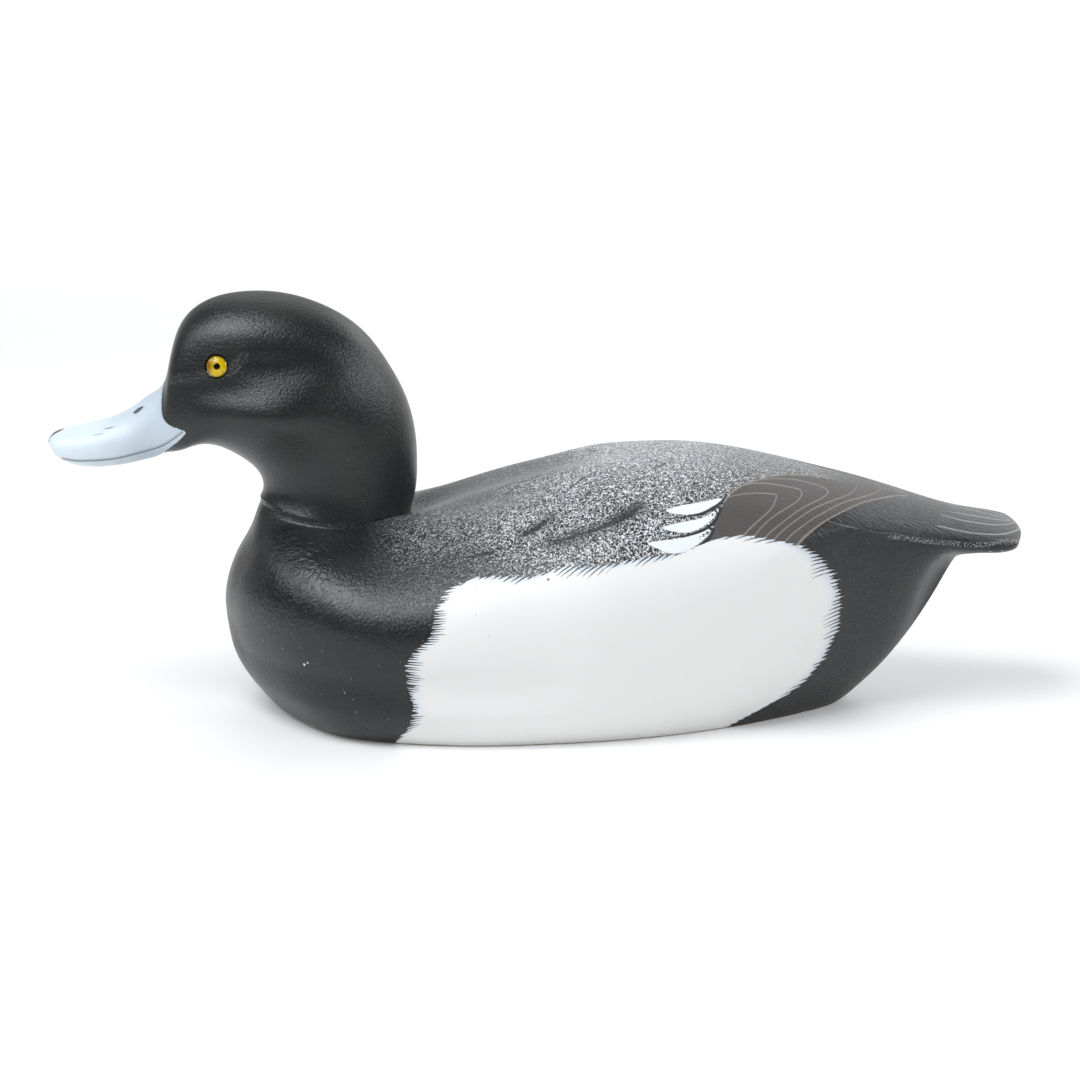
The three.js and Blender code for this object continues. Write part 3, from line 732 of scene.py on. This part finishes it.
class Finish:
    """A material under way: its paint, laid on coat by coat, and the ridges that the brush left."""

    def __init__(self, name, ground=None, roughness=None):
        self.material = bpy.data.materials.new(name)
        self.material.use_nodes = True
        self.tree = self.material.node_tree
        self.shader = self.tree.nodes["Principled BSDF"]
        self.place = self.millimetres()
        self.colour = ground
        self.gloss = roughness

    def node(self, kind, **settings):
        node = self.tree.nodes.new(kind)
        for name, value in settings.items():
            setattr(node, name, value)
        return node

    def link(self, value, socket):
        if isinstance(value, Field):
            self.tree.links.new(value.socket, socket)
        elif isinstance(value, bpy.types.NodeSocket):
            self.tree.links.new(value, socket)
        elif isinstance(value, tuple):
            socket.default_value = (*value, 1) if len(socket.default_value) == 4 else value
        else:
            socket.default_value = value

    def millimetres(self):
        scale = self.node("ShaderNodeVectorMath", operation="SCALE")
        self.link(self.node("ShaderNodeTexCoord").outputs["Object"], scale.inputs[0])
        scale.inputs["Scale"].default_value = 1000
        return scale.outputs[0]

    def stretched(self, x, y, z, turn=(0, 0, 0), moved=(0, 0, 0)):
        """The place in millimetres, turned and then stretched, for grain that runs one way."""
        node = self.node("ShaderNodeMapping", vector_type="TEXTURE")
        self.link(self.place, node.inputs["Vector"])
        node.inputs["Location"].default_value = moved
        node.inputs["Rotation"].default_value = [math.radians(a) for a in turn]
        node.inputs["Scale"].default_value = (x, y, z)
        return node.outputs[0]

    def noise(self, across, detail=2.0, roughness=0.5, distortion=0.0, place=None):
        """Smooth chance from 0 to 1, whose hollows are about as many millimetres across as it says."""
        node = self.node("ShaderNodeTexNoise")
        self.link(place or self.place, node.inputs["Vector"])
        node.inputs["Scale"].default_value = 1 / across
        node.inputs["Detail"].default_value = detail
        node.inputs["Roughness"].default_value = roughness
        node.inputs["Distortion"].default_value = distortion
        return Field(self.tree, node.outputs["Fac"])

    def cells(self, across):
        """Distance from the nearest of many scattered points in millimetres, and a number of each point's own."""
        node = self.node("ShaderNodeTexVoronoi")
        self.link(self.place, node.inputs["Vector"])
        node.inputs["Scale"].default_value = 1 / across
        return Field(self.tree, node.outputs["Distance"]) * across, self.parts(node.outputs["Color"])[0]

    def number(self, name):
        """The number stored with the vertices under a name."""
        return Field(self.tree, self.node("ShaderNodeAttribute", attribute_name=name).outputs["Fac"])

    def kept(self, name):
        """The three numbers stored with the vertices under a name."""
        return self.parts(self.node("ShaderNodeAttribute", attribute_name=name).outputs["Vector"])

    def parts(self, three):
        """The three numbers that a place or a colour is made of."""
        node = self.node("ShaderNodeSeparateXYZ")
        self.link(three, node.inputs[0])
        return [Field(self.tree, node.outputs[k]) for k in range(3)]

    def joined(self, *three):
        """A place from its three numbers."""
        node = self.node("ShaderNodeCombineXYZ")
        for value, socket in zip(three, node.inputs):
            self.link(value, socket)
        return node.outputs[0]

    def axes(self):
        return self.parts(self.place)

    def chances(self, number, seed):
        """Three random numbers for each whole number."""
        node = self.node("ShaderNodeTexWhiteNoise", noise_dimensions="1D")
        self.link(number + seed, node.inputs["W"])
        return self.parts(node.outputs["Color"])

    def from_point(self, point, mirrored=False):
        """Distance from a point in millimetres, or from it and its mirror image."""
        place = self.place
        if mirrored:
            x, y, z = self.axes()
            place = self.joined(x, y.size(), z)
        node = self.node("ShaderNodeVectorMath", operation="DISTANCE")
        self.link(place, node.inputs[0])
        node.inputs[1].default_value = point
        return Field(self.tree, node.outputs["Value"])

    def around(self, point, spacing):
        """A place that changes fast away from a point and slowly round it, for strokes that follow circles."""
        x, y, z = self.axes()
        along = spacing * 2
        return self.joined(self.from_point(point, mirrored=True) / spacing, x / along, (z + y) / along)

    def coat(self, colour, where, roughness=None):
        """Lays a colour over what is there, as far as where says."""
        self.colour = self.blend(self.colour, colour, where)
        if roughness is not None:
            node = self.node("ShaderNodeMix", data_type="FLOAT")
            self.link(where, node.inputs[0])
            self.link(self.gloss, node.inputs[2])
            self.link(roughness, node.inputs[3])
            self.gloss = Field(self.tree, node.outputs[0])

    def blend(self, under, over, where):
        node = self.node("ShaderNodeMix", data_type="RGBA")
        self.link(where, node.inputs[0])
        self.link(under, node.inputs[6])
        self.link(over, node.inputs[7])
        return node.outputs[2]

    def stroke(self, name, soft=0.12, ragged=0.0, share=1.0):
        """Where the strokes kept under a name lie, with edges as ragged as it says."""
        across, gap, half_width = self.kept(name)
        wide = half_width * share
        if ragged:
            wide = wide * (1 + (self.noise(0.7) - 0.5) * ragged)
        return (wide - across.size()).rising(-soft, soft) * (gap - half_width).rising(1.3, 0.9)

    def barbed(self, name, seed, often, inward, outward, wide=0.24, curve=0.0):
        """Where the ground covers a coat's edge: slender barbs of it reach inward, and barbs of the coat outward."""
        depth, number, reach = self.kept(name)
        number = number * often + curve * depth * depth + (self.noise(3.0) - 0.5) * 0.3
        number = number + self.axes()[1].rising(-1, 1) * 1000
        cell = number.whole()
        first, second, third = self.chances(cell, seed)
        aside = (number - cell - 0.5 + (third - 0.5) * 0.3).size()
        tip = (depth / (reach * inward * (first * 0.6 + 0.4))).clamped()
        root = (depth * -1 / (reach * outward * (second * 0.7 + 0.3))).clamped()
        half = (1 - tip).power(0.6) * wide + root * (0.8 - wide)
        return (half - aside).rising(0, 0.12)

    def finish(self, height, depth):
        """Links the coats and the ridges to the shader. height runs from 0 to 1 over the depth in millimetres."""
        self.link(self.colour, self.shader.inputs["Base Color"])
        self.link(self.gloss, self.shader.inputs["Roughness"])
        bump = self.node("ShaderNodeBump")
        bump.inputs["Strength"].default_value = 1
        bump.inputs["Distance"].default_value = depth * MM
        self.link(height, bump.inputs["Height"])
        self.link(bump.outputs[0], self.shader.inputs["Normal"])
        return self.material


def mixed(under, over, where):
    """One number over another, as far as where says."""
    return under + (over - under) * where


def paint(red, green, blue):
    """A paint's colour from the usual 0 to 255, as the shaders take it."""
    return tuple(((c / 255 + 0.055) / 1.055) ** 2.4 if c > 10 else c / 255 / 12.92 for c in (red, green, blue))


BLACK = paint(20, 21, 23)
FLECK = paint(226, 229, 232)
# Where the brush went round and round on the breast.
BREAST_TURN = Vector((-86.8, 51.2, 62.7))
BODY_RIDGES = 0.36
coats = Finish("body_paint", BLACK, 0.31)
px, _, pz = coats.axes()
flecks, mist_and_painted_light, rim = coats.kept("cover")
feather, wing, rump = coats.kept("patches")

# Black ground with a little brown and grey in it.
coats.coat(paint(31, 30, 31), coats.noise(9, 3).rising(0.4, 0.7) * 0.7)
coats.coat(paint(54, 55, 58), coats.noise(0.9, 2).rising(0.6, 0.76) * 0.4)
# Grey paint misted beside the neck, with grey painted reflection along the top of the back and painted light
# on the rump.
grain = coats.noise(0.8, 2, 0.6)
coats.coat(paint(104, 105, 108), mist_and_painted_light * (grain * 0.7 + 0.45).clamped(), 0.5)
# Short curling flecks of pale grey over the back.
brushed = coats.stretched(1, 1, 1.5, turn=(0, 28, 0))
curl = (coats.noise(1.0, detail=1.0, roughness=0.4, distortion=0.6, place=brushed) - 0.5).size()
broken = coats.noise(0.9, detail=0.0, place=coats.stretched(1, 1, 1, moved=(9, 31, 5)))
brushed = coats.stretched(1, 1, 1.3, turn=(0, -20, 0), moved=(40, 7, 3))
other = (coats.noise(0.88, detail=0.0, distortion=0.4, place=brushed) - 0.5).size()
thick = (coats.noise(7, 2) * 0.8 + 0.6).clamped()
thin = 1 - flecks * thick
worm = (curl + thin * 0.03).rising(0.088, 0.055) * broken.rising(0.48, 0.53)
worm = worm.most((other + thin * 0.03).rising(0.078, 0.05) * broken.rising(0.46, 0.41) * 0.9)
edge = coats.kept("flank_front")[0].least(coats.kept("flank_rear")[0])
marks = worm * (flecks * 1.1).clamped() * edge.rising(-0.3, -1.1)
coats.coat(FLECK, marks, 0.5)
# The wing's patch, and the pale edges of its feathers and of the tail's.
streak = coats.noise(0.8, 3, 0.6, place=coats.stretched(7, 1, 1, turn=(0, 8, 0)))
on_wing = wing.rising(-0.25, 0.25)
coats.coat(coats.blend(paint(70, 67, 66), paint(86, 82, 80), streak), on_wing, 0.45)
for name in ("quills_a", "quills_b", "quills_c"):
    coats.coat(paint(138, 129, 118), coats.stroke(name, soft=0.1, ragged=0.5, share=0.55) * 0.9)
coats.coat(paint(140, 142, 145), coats.stroke("tail_lines", ragged=0.6, share=0.7) * 0.9)
coats.coat(paint(232, 236, 238), feather.rising(-0.15, 0.15), 0.5)
parted = coats.stroke("dark_strokes", soft=0.3, ragged=1.1, share=1.15)
coats.coat(paint(12, 12, 14), parted * (1 - marks * 0.5))
coats.coat(paint(40, 39, 41), coats.stroke("feather_edges", soft=0.1, ragged=0.1, share=0.85))
coats.coat(paint(12, 12, 13), rim.rising(0, 0.8) * 0.8)
stippled = coats.number("rim_line").rising(1.2, 0.5) * coats.noise(0.45, 0.0).rising(0.52, 0.62)
coats.coat(paint(160, 162, 165), stippled * 0.75)
# White flank, bluer beside the dark barbs and smudged by them. A long row of barbs and a short one meet at its front.
shut = coats.barbed("flank_front", seed=3.5, often=1.0, inward=1.5, outward=0.9, wide=0.35)
shut = shut.most(coats.barbed("flank_front", seed=7.5, often=0.45, inward=0.7, outward=0.2, wide=0.3))
grouped = coats.noise(9, 1).rising(0.38, 0.55)
long = 1.3 * grouped + 0.35
shut = shut.most(coats.barbed("flank_rear", seed=11.5, often=1.6, inward=long, outward=0.8, curve=-0.01))
flank = 1 - shut
smudged = edge.rising(2.5, 0.2) * coats.noise(1.2, 2).rising(0.35, 0.65)
white = coats.blend(paint(222, 227, 233), paint(235, 234, 233), edge.rising(1.0, 6.0))
white = coats.blend(white, paint(150, 156, 166), smudged * 0.45)
coats.coat(white, flank, 0.5)
# Specks of dust in the black, and the listed specks.
speck, own = coats.cells(2.6)
sown = (own * 0.3 - 0.04 - speck).rising(-0.05, 0.05) * own.rising(0.45, 0.6)
coats.coat(paint(105, 105, 106), sown * (1 - flank) * (1 - flecks).clamped())
for place, size, pale in specks_seen:
    ragged = coats.from_point(place) + (coats.noise(0.5) - 0.5) * size
    coats.coat(paint(pale, pale, pale), ragged.rising(size + 0.08, size - 0.08))
# Bare wood underneath and at the worn edge of the base.
base = pz.rising(0.5, 0.1)
timber = coats.noise(0.9, 3, 0.6, distortion=0.3, place=coats.stretched(16, 1, 1))
coats.coat(coats.blend(paint(134, 106, 78), paint(92, 70, 50), timber), base, 0.75)

# Ridges of the dried paint: leathery in front, round and round on the breast, combed over the rump and smooth on the
# white, with pressed filler round the neck.
leather = coats.noise(1.15, 3, 0.6, distortion=0.6)
whorl = coats.noise(1.0, 1.5, distortion=0.9, place=coats.around(BREAST_TURN, 1.7))
by_breast = coats.from_point(BREAST_TURN, mirrored=True).rising(46, 10)
combed = coats.noise(1.0, 3, 0.65, distortion=0.4, place=coats.stretched(3.6, 1, 1, turn=(0, 30, 0)))
relief = mixed(leather * 0.75, whorl * 1.1, by_breast * 0.8)
relief = mixed(relief, combed * 1.7, px.rising(60, 110))
relief = mixed(relief, coats.noise(1.6, 2) * 0.2 + 0.4, flank)
neck = coats.number("from_neck")
pressed = neck.rising(3.0, 1.8) * neck.rising(0.1, 0.9) * (coats.noise(1.6, 3, 0.6) * 1.4 + 0.1)
relief = relief + pressed * (px.rising(-62, -84) * px.rising(-99, -88) * 0.7 + 0.3)
body.data.materials.clear()
body.data.materials.append(coats.finish(relief, BODY_RIDGES))
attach(body, "root")
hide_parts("body")

# The head. A second block of wood, carved with the neck and the bill in one piece and set into the body. The bill's
# mouth line and nostrils are cut with the point of the knife, and a round socket is bored on each side for the eye.

EYE_AT = [-114.3, 130.1]
EYE_RADIUS = 4.1
EYE_DOME = 1.9
EYE_DEPTH = 2.6
EYE_SUNK = 0.35
SOCKET_GAP = 0.3
# Where the black meets the blue of the bill, from the culmen down to the chin.
BILL_EDGE = [
    (-135.9, 130), (-135.9, 117.3), (-135.8, 113.7), (-135.8, 109.2), (-135.5, 104.8), (-134.2, 102),
    (-131.8, 100.2), (-128.6, 99.2), (-125.7, 97.9), (-127.1, 96.4), (-129.7, 94.3), (-133.1, 92.4), (-135.6, 91.2),
    (-136.5, 80),
]
MOUTH = [
    (-172.5, 88.8), (-168.1, 87.9), (-162.7, 87.9), (-155.7, 88.3), (-149.7, 89.4), (-143, 91.2), (-136.1, 93.1),
    (-131.3, 95.4), (-127.3, 98),
]
NOSTRIL = [
    (-147.3, 105.4), (-146.2, 106.6), (-144.6, 107.6), (-143, 108.1), (-143.5, 107.1), (-144.7, 105.9),
    (-146, 105.2),
]
# Where the paint puckered as it dried, in the hollow under the eye.
PUCKERS = [(-130.5, 116.6), (-120.3, 117.6), (-109.3, 119.2), (-104.5, 124.5)]
BILL_STROKES = [
    ([(-161.1, 97.2), (-159.4, 97.5), (-157.4, 97.9)], [0.1, 0.22, 0.1]),
    ([(-157.1, 99.6), (-155.2, 99.9), (-153.5, 100.5)], [0.16, 0.3, 0.08]),
]


@functools.cache
def eye_frame(side):
    """The middle of an eye and the way that it looks. side is -1 on the side that is seen."""

    def skin_at(x, z):
        spot, step = np.array([8.0, math.pi / 2]), 1.0
        nudges = np.stack(np.meshgrid(np.arange(-4, 5), np.arange(-4, 5) * 0.25), 2).reshape(-1, 2)
        while step > 0.0005:
            tries = spot + nudges * step
            found = np.array([head_side([place], np.array([angle]))[0, 0] for place, angle in tries])
            off = (found[:, 0] - x) ** 2 + (found[:, 2] - z) ** 2
            spot, skin = tries[off.argmin()], found[off.argmin()]
            step /= 2
        return skin

    x, z = EYE_AT
    normal = np.cross(skin_at(x + 3, z) - skin_at(x - 3, z), skin_at(x, z + 3) - skin_at(x, z - 3))
    normal /= np.linalg.norm(normal)
    middle = skin_at(x, z) - normal * EYE_SUNK
    mirror = np.array([1, -side, 1])
    return middle * mirror, normal * mirror


def turned(name, profile, side, around=96):
    """A round piece seated in an eye socket, from its profile's rows of radius and height, back to front."""
    middle, way = eye_frame(side)
    across = np.cross(way, [0, 0, 1])
    across /= np.linalg.norm(across)
    up = np.cross(way, across)
    t = np.arange(around) / around * 2 * math.pi
    wheel = across * np.cos(t)[:, None] + up * np.sin(t)[:, None]
    rows = np.array(profile, float)
    rings = middle + way * rows[1:-1, 1, None, None] + wheel * rows[1:-1, 0, None, None]
    return lofted(name, rings, middle + way * rows[0, 1], middle + way * rows[-1, 1])


def dome(grow=0.0, rows=24):
    """The eye's rounded front, from its rim to its middle."""
    ball = (EYE_RADIUS**2 + EYE_DOME**2) / (2 * EYE_DOME)
    angle = math.asin(EYE_RADIUS / ball) * (1 - np.arange(rows + 1) / rows)
    return [((ball + grow) * math.sin(a), EYE_DOME - ball + (ball + grow) * math.cos(a)) for a in angle]


def flared(points):
    """How far the foot of the neck is drawn out over the filler, most at the throat."""
    ground = points_of(body)
    ground = ground[(ground[:, 2] > 55) & (ground[:, 0] < -30)]
    tree = KDTree(len(ground))
    for i, point in enumerate(ground):
        tree.insert(point, i)
    tree.balance()
    away = np.full(len(points), 99.0)
    low = np.flatnonzero((points[:, 2] < 95) & (points[:, 0] > -115))
    away[low] = [tree.find(point)[2] for point in points[low]]
    return (0.8 + 1.3 * smoothstep(-70, -96, points[:, 0])) * np.exp(-away / 3)


def mouth_and_nostril(spots):
    """How far spots lie from the mouth line, and how deep in the nostril."""
    return nearest_on(softened(MOUTH, rounds=3), spots)[0], depth_in(softened(NOSTRIL, True, 1), spots, 6.0)


def socket_tool(side):
    back = -EYE_DEPTH - SOCKET_GAP
    wide = EYE_RADIUS + SOCKET_GAP
    return turned("socket", [(0, back), (wide * 0.8, back), (wide, back * 0.55), (wide, 4), (0, 4)], side)


head_places = np.concatenate([evenly(head_line, 18.55, 12.2, 130), evenly(head_line, 12.2, 0, 170)[1:]])
head_skin = head_rings(head_places, 104)
head = lofted("painted_head", head_skin, BILL_TIP, head_skin[-1].mean(0))
points = points_of(head)
mouth_gap, nostril = mouth_and_nostril(laid_flat(points))
above = smoothstep(60, 90, points[:, 2])
cuts = -0.32 * np.exp(-((mouth_gap / 0.42) ** 2)) - 0.45 * smoothstep(-0.35, 0.35, nostril)
carve(head, cuts + 0.3 * above * knife_marks(points, 26, 9) * smoothstep(-140, -128, points[:, 0]))
carve(head, flared(points_of(head)))
cut(head, [socket_tool(-1), socket_tool(1)])
shaded(head)

points = points_of(head)
spots = laid_flat(points)
bill = depth_in(softened(BILL_EDGE + [(-220, 80), (-220, 130)], True, 1), spots, 8.0)
mouth_gap, nostril = mouth_and_nostril(spots)
keep(head, "face", np.stack([bill, np.minimum(mouth_gap, 9), nostril], 1))
keep(head, "bill_strokes", strokes(BILL_STROKES, spots))
keep(head, "below_eye", nearest_on(softened(PUCKERS, rounds=3), spots)[0])
tip = np.hypot((points[:, 0] + 179.5) / 6.5, points[:, 1] / 3.6)
keep(head, "nail", np.where(points[:, 2] > 96.2, 1 - tip, -1))

HEAD_RIDGES = 0.22
skin = Finish("head_paint", BLACK, 0.3)
blue, mouth, nostril_depth = skin.kept("face")
skin.coat(paint(28, 34, 31), skin.noise(16, 3).rising(0.4, 0.65) * 0.8)
skin.coat(paint(50, 53, 55), skin.noise(0.8, 2).rising(0.6, 0.76) * 0.4)
on_bill = (blue + (skin.noise(0.8, 2) - 0.5) * 0.5).rising(-0.12, 0.2)
# Painted shade and highlight on the bill: darker blue at its base, by the face, and paler blue towards the tip.
bill_shade_to_highlight = (skin.axes()[0] + (skin.noise(7, 3) - 0.5) * 16).rising(-136, -166)
bill_blue = skin.blend(paint(188, 200, 210), paint(214, 226, 234), bill_shade_to_highlight)
skin.coat(bill_blue, on_bill, 0.42)
skin.coat(paint(120, 130, 138), mouth.rising(0.5, 0.15) * on_bill * 0.85)
skin.coat(paint(70, 76, 84), nostril_depth.rising(-0.2, 0.15))
skin.coat(paint(118, 128, 138), skin.stroke("bill_strokes", soft=0.1, ragged=0.5) * 0.8)
skin.coat(paint(52, 54, 58), skin.number("nail").rising(-0.03, 0.05))
speck, own = skin.cells(2.8)
sown = (own * 0.26 - 0.04 - speck).rising(-0.05, 0.05) * own.rising(0.5, 0.65) * (1 - on_bill)
skin.coat(paint(100, 102, 102), sown)
leather = skin.noise(1.0, 3, 0.6, distortion=0.5)
puckered = skin.number("below_eye").rising(2.6, 0.8) * (1 - on_bill)
leather = leather + (skin.noise(1.7, 1.5, distortion=1.8) - 0.5) * puckered * 5
leather = mixed(leather, skin.noise(1.6, 2) * 0.3 + 0.35, on_bill)
head.data.materials.clear()
head.data.materials.append(skin.finish(leather, HEAD_RIDGES))
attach(head, "root")
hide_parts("head")

# The eyes. Each is a clear glass button with the yellow iris and black pupil painted behind it, pushed into its bored
# socket. A rim of black paint goes round it. On the seen eye a white crescent is painted at the iris's lower rim, as a
# painted reflection of the white table.

PUPIL = 1.03
IRIS = 3.5
IRIS_EDGE = 3.8


def eye(side, name):
    """The glass and the painted iris of one eye."""
    front = dome()
    back = [(0, -1.5), (3.7, -1.5), (EYE_RADIUS - 0.06, -1.1), (EYE_RADIUS, -0.6)]
    glass = turned("eye_glass_" + name, back + front, side)
    shaded(glass, 50)
    bowl = [(0, -1.2), (IRIS_EDGE, -1.0), (IRIS_EDGE + 0.06, -0.8), (IRIS_EDGE, -0.62)]
    bowl += [(r, -0.62 - 0.3 * (1 - r / IRIS_EDGE) ** 1.3) for r in np.linspace(IRIS_EDGE - 0.1, 0.05, 40)]
    iris = turned("iris_" + name, bowl + [(0, -0.92)], side)
    shaded(iris, 50)
    middle, way = eye_frame(side)
    off = np.linalg.norm(np.cross(points_of(iris) - middle, way), axis=1)
    keep(iris, "from_middle", off)
    return glass, iris


clear = bpy.data.materials.new("eye_glass")
clear.use_nodes = True
shader = clear.node_tree.nodes["Principled BSDF"]
shader.inputs["Base Color"].default_value = (1, 1, 1, 1)
shader.inputs["Transmission Weight"].default_value = 1
shader.inputs["Roughness"].default_value = 0.01
shader.inputs["IOR"].default_value = 1.45

amber = Finish("iris_paint", paint(236, 200, 0), 0.35)
off = amber.number("from_middle")
amber.coat(paint(168, 112, 0), amber.noise(2.6, 2).rising(0.5, 0.68))
shaded_side = amber.from_point(eye_frame(1)[0] + [-2.8, 0, 0.2], mirrored=True).rising(2.9, 1.0)
amber.coat(paint(158, 108, 0), shaded_side * 0.75)
amber.coat(paint(120, 78, 4), off.rising(IRIS - 0.5, IRIS) * 0.7)
amber.coat(paint(14, 12, 12), off.rising(IRIS - 0.02, IRIS + 0.12))
# A painted reflection of the white table: a white crescent at the lower left of the seen eye's iris.
painted_reflection = amber.from_point(eye_frame(-1)[0] + [-3.0, 0, -2.5]).rising(1.5, 1.2) * off.rising(3.45, 3.6)
amber.coat(paint(226, 226, 222), painted_reflection)
amber.coat(paint(2, 2, 3), off.rising(PUPIL + 0.05, PUPIL - 0.05))
amber.shader.inputs["Specular IOR Level"].default_value = 0
amber_paint = amber.finish(amber.noise(0.5), 0.02)
for side, name in ((-1, "left"), (1, "right")):
    glass, iris = eye(side, name)
    glass.data.materials.append(clear)
    iris.data.materials.append(amber_paint)
    for piece in (glass, iris):
        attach(piece, "root")
        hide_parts("eye_" + name)

# The table, a white sheet that runs back and up behind the decoy and glows white there, as paper lit from behind
# would. Its sizes, and those of the lamps and the camera, are in metres.

TABLE_FRONT, TABLE_BEND, TABLE_TOP, HALF_TABLE = -6, 1.6, 3.5, 6
BEND_RADIUS = 1.0


def stage_floor():
    profile = [(TABLE_FRONT, 0), (-2.5, 0)] + [(y, 0) for y in np.linspace(-2, TABLE_BEND, 14)]
    for turn in np.linspace(0, math.pi / 2, 14)[1:]:
        profile.append((TABLE_BEND + BEND_RADIUS * math.sin(turn), BEND_RADIUS - BEND_RADIUS * math.cos(turn)))
    profile.append((TABLE_BEND + BEND_RADIUS, TABLE_TOP))
    points = [(x, y, z) for y, z in profile for x in (-HALF_TABLE, HALF_TABLE)]
    faces = [(i, i + 1, i + 3, i + 2) for i in range(0, len(points) - 2, 2)]
    mesh = bpy.data.meshes.new("table")
    mesh.from_pydata(points, [], faces)
    mesh.shade_smooth()
    table = bpy.data.objects.new("table", mesh)
    bpy.context.scene.collection.objects.link(table)
    # White paper in front that turns to plain glowing white at the back. Towards its left edge its colour and glow are
    # painted darker, as painted shade for a darker room there.
    sheet = Finish("table_white")
    sheet.shader.inputs["Roughness"].default_value = 0.6
    across, away, _ = sheet.axes()
    far = (away * MM).rising(0.25, 1.7)
    lit = (across * MM + away * (0.16 * MM)).rising(-1.2, -0.45) * 0.8 + 0.2
    near = sheet.blend((0.4, 0.4, 0.4), (0.87, 0.87, 0.87), lit)
    sheet.link(sheet.blend(near, (0.0, 0.0, 0.0), far), sheet.shader.inputs["Base Color"])
    sheet.shader.inputs["Emission Color"].default_value = (1, 1, 1, 1)
    sheet.link(far * lit * 0.93 + 0.1, sheet.shader.inputs["Emission Strength"])
    mesh.materials.append(sheet.material)
    return table


stage_floor()

# The lamps: azimuth and elevation, distance, width and height, and watts. Azimuth 0 is the side that is seen, and it
# grows towards the tail. The window stands before the breast, and the others fill in round about.
LAMPS = {
    "window": (-47, 58, 1.5, 0.86, 0.92, 18.3),
    "fill": (-50, 31, 1.6, 1.2, 0.5, 2.6),
    "left": (-86, 36, 1.7, 0.6, 0.6, 3.4),
    "right": (60, 30, 1.8, 0.6, 0.5, 6),
    "far_right": (95, 28, 1.8, 0.7, 0.6, 7),
    "behind": (175, 62, 1.8, 1.2, 0.8, 2.4),
    "behind_right": (135, 35, 1.8, 0.9, 0.7, 4),
}
DAYLIGHT = (0.95, 0.98, 1)
LAMPS_AIM = Vector((0, 0, 0.07))


def lamp(name, azimuth, elevation, distance, width, height, watts):
    """A soft rectangular lamp that faces the decoy."""
    data = bpy.data.lights.new(name, "AREA")
    data.shape = "RECTANGLE"
    data.size, data.size_y = width, height
    data.energy = watts
    data.color = DAYLIGHT
    around, up = math.radians(azimuth), math.radians(elevation)
    away = Vector((math.sin(around) * math.cos(up), -math.cos(around) * math.cos(up), math.sin(up))) * distance
    light = bpy.data.objects.new(name, data)
    light.location = LAMPS_AIM + away
    light.rotation_euler = away.to_track_quat("Z", "Y").to_euler()
    bpy.context.scene.collection.objects.link(light)


for name, settings in LAMPS.items():
    lamp("lamp_" + name, *settings)

world = bpy.data.worlds.new("room")
world.use_nodes = True
world.node_tree.nodes["Background"].inputs["Color"].default_value = (1, 1, 1, 1)
world.node_tree.nodes["Background"].inputs["Strength"].default_value = 0.16
bpy.context.scene.world = world
bpy.context.scene.view_settings.view_transform = "Standard"

# The camera looks along +Y from a little above the decoy, through a long lens.

CAMERA_TARGET = Vector((1.6, 0, 60.9)) * MM
CAMERA_DISTANCE = 1.111
camera = bpy.data.objects.new("camera", bpy.data.cameras.new("camera"))
camera.data.lens = 100
camera.data.sensor_width = 36
toward = Vector((0, -math.cos(SEEN_FROM), math.sin(SEEN_FROM)))
camera.location = CAMERA_TARGET + toward * CAMERA_DISTANCE
camera.rotation_euler = (math.pi / 2 - SEEN_FROM, 0, 0)
bpy.context.scene.collection.objects.link(camera)
bpy.context.scene.camera = camera
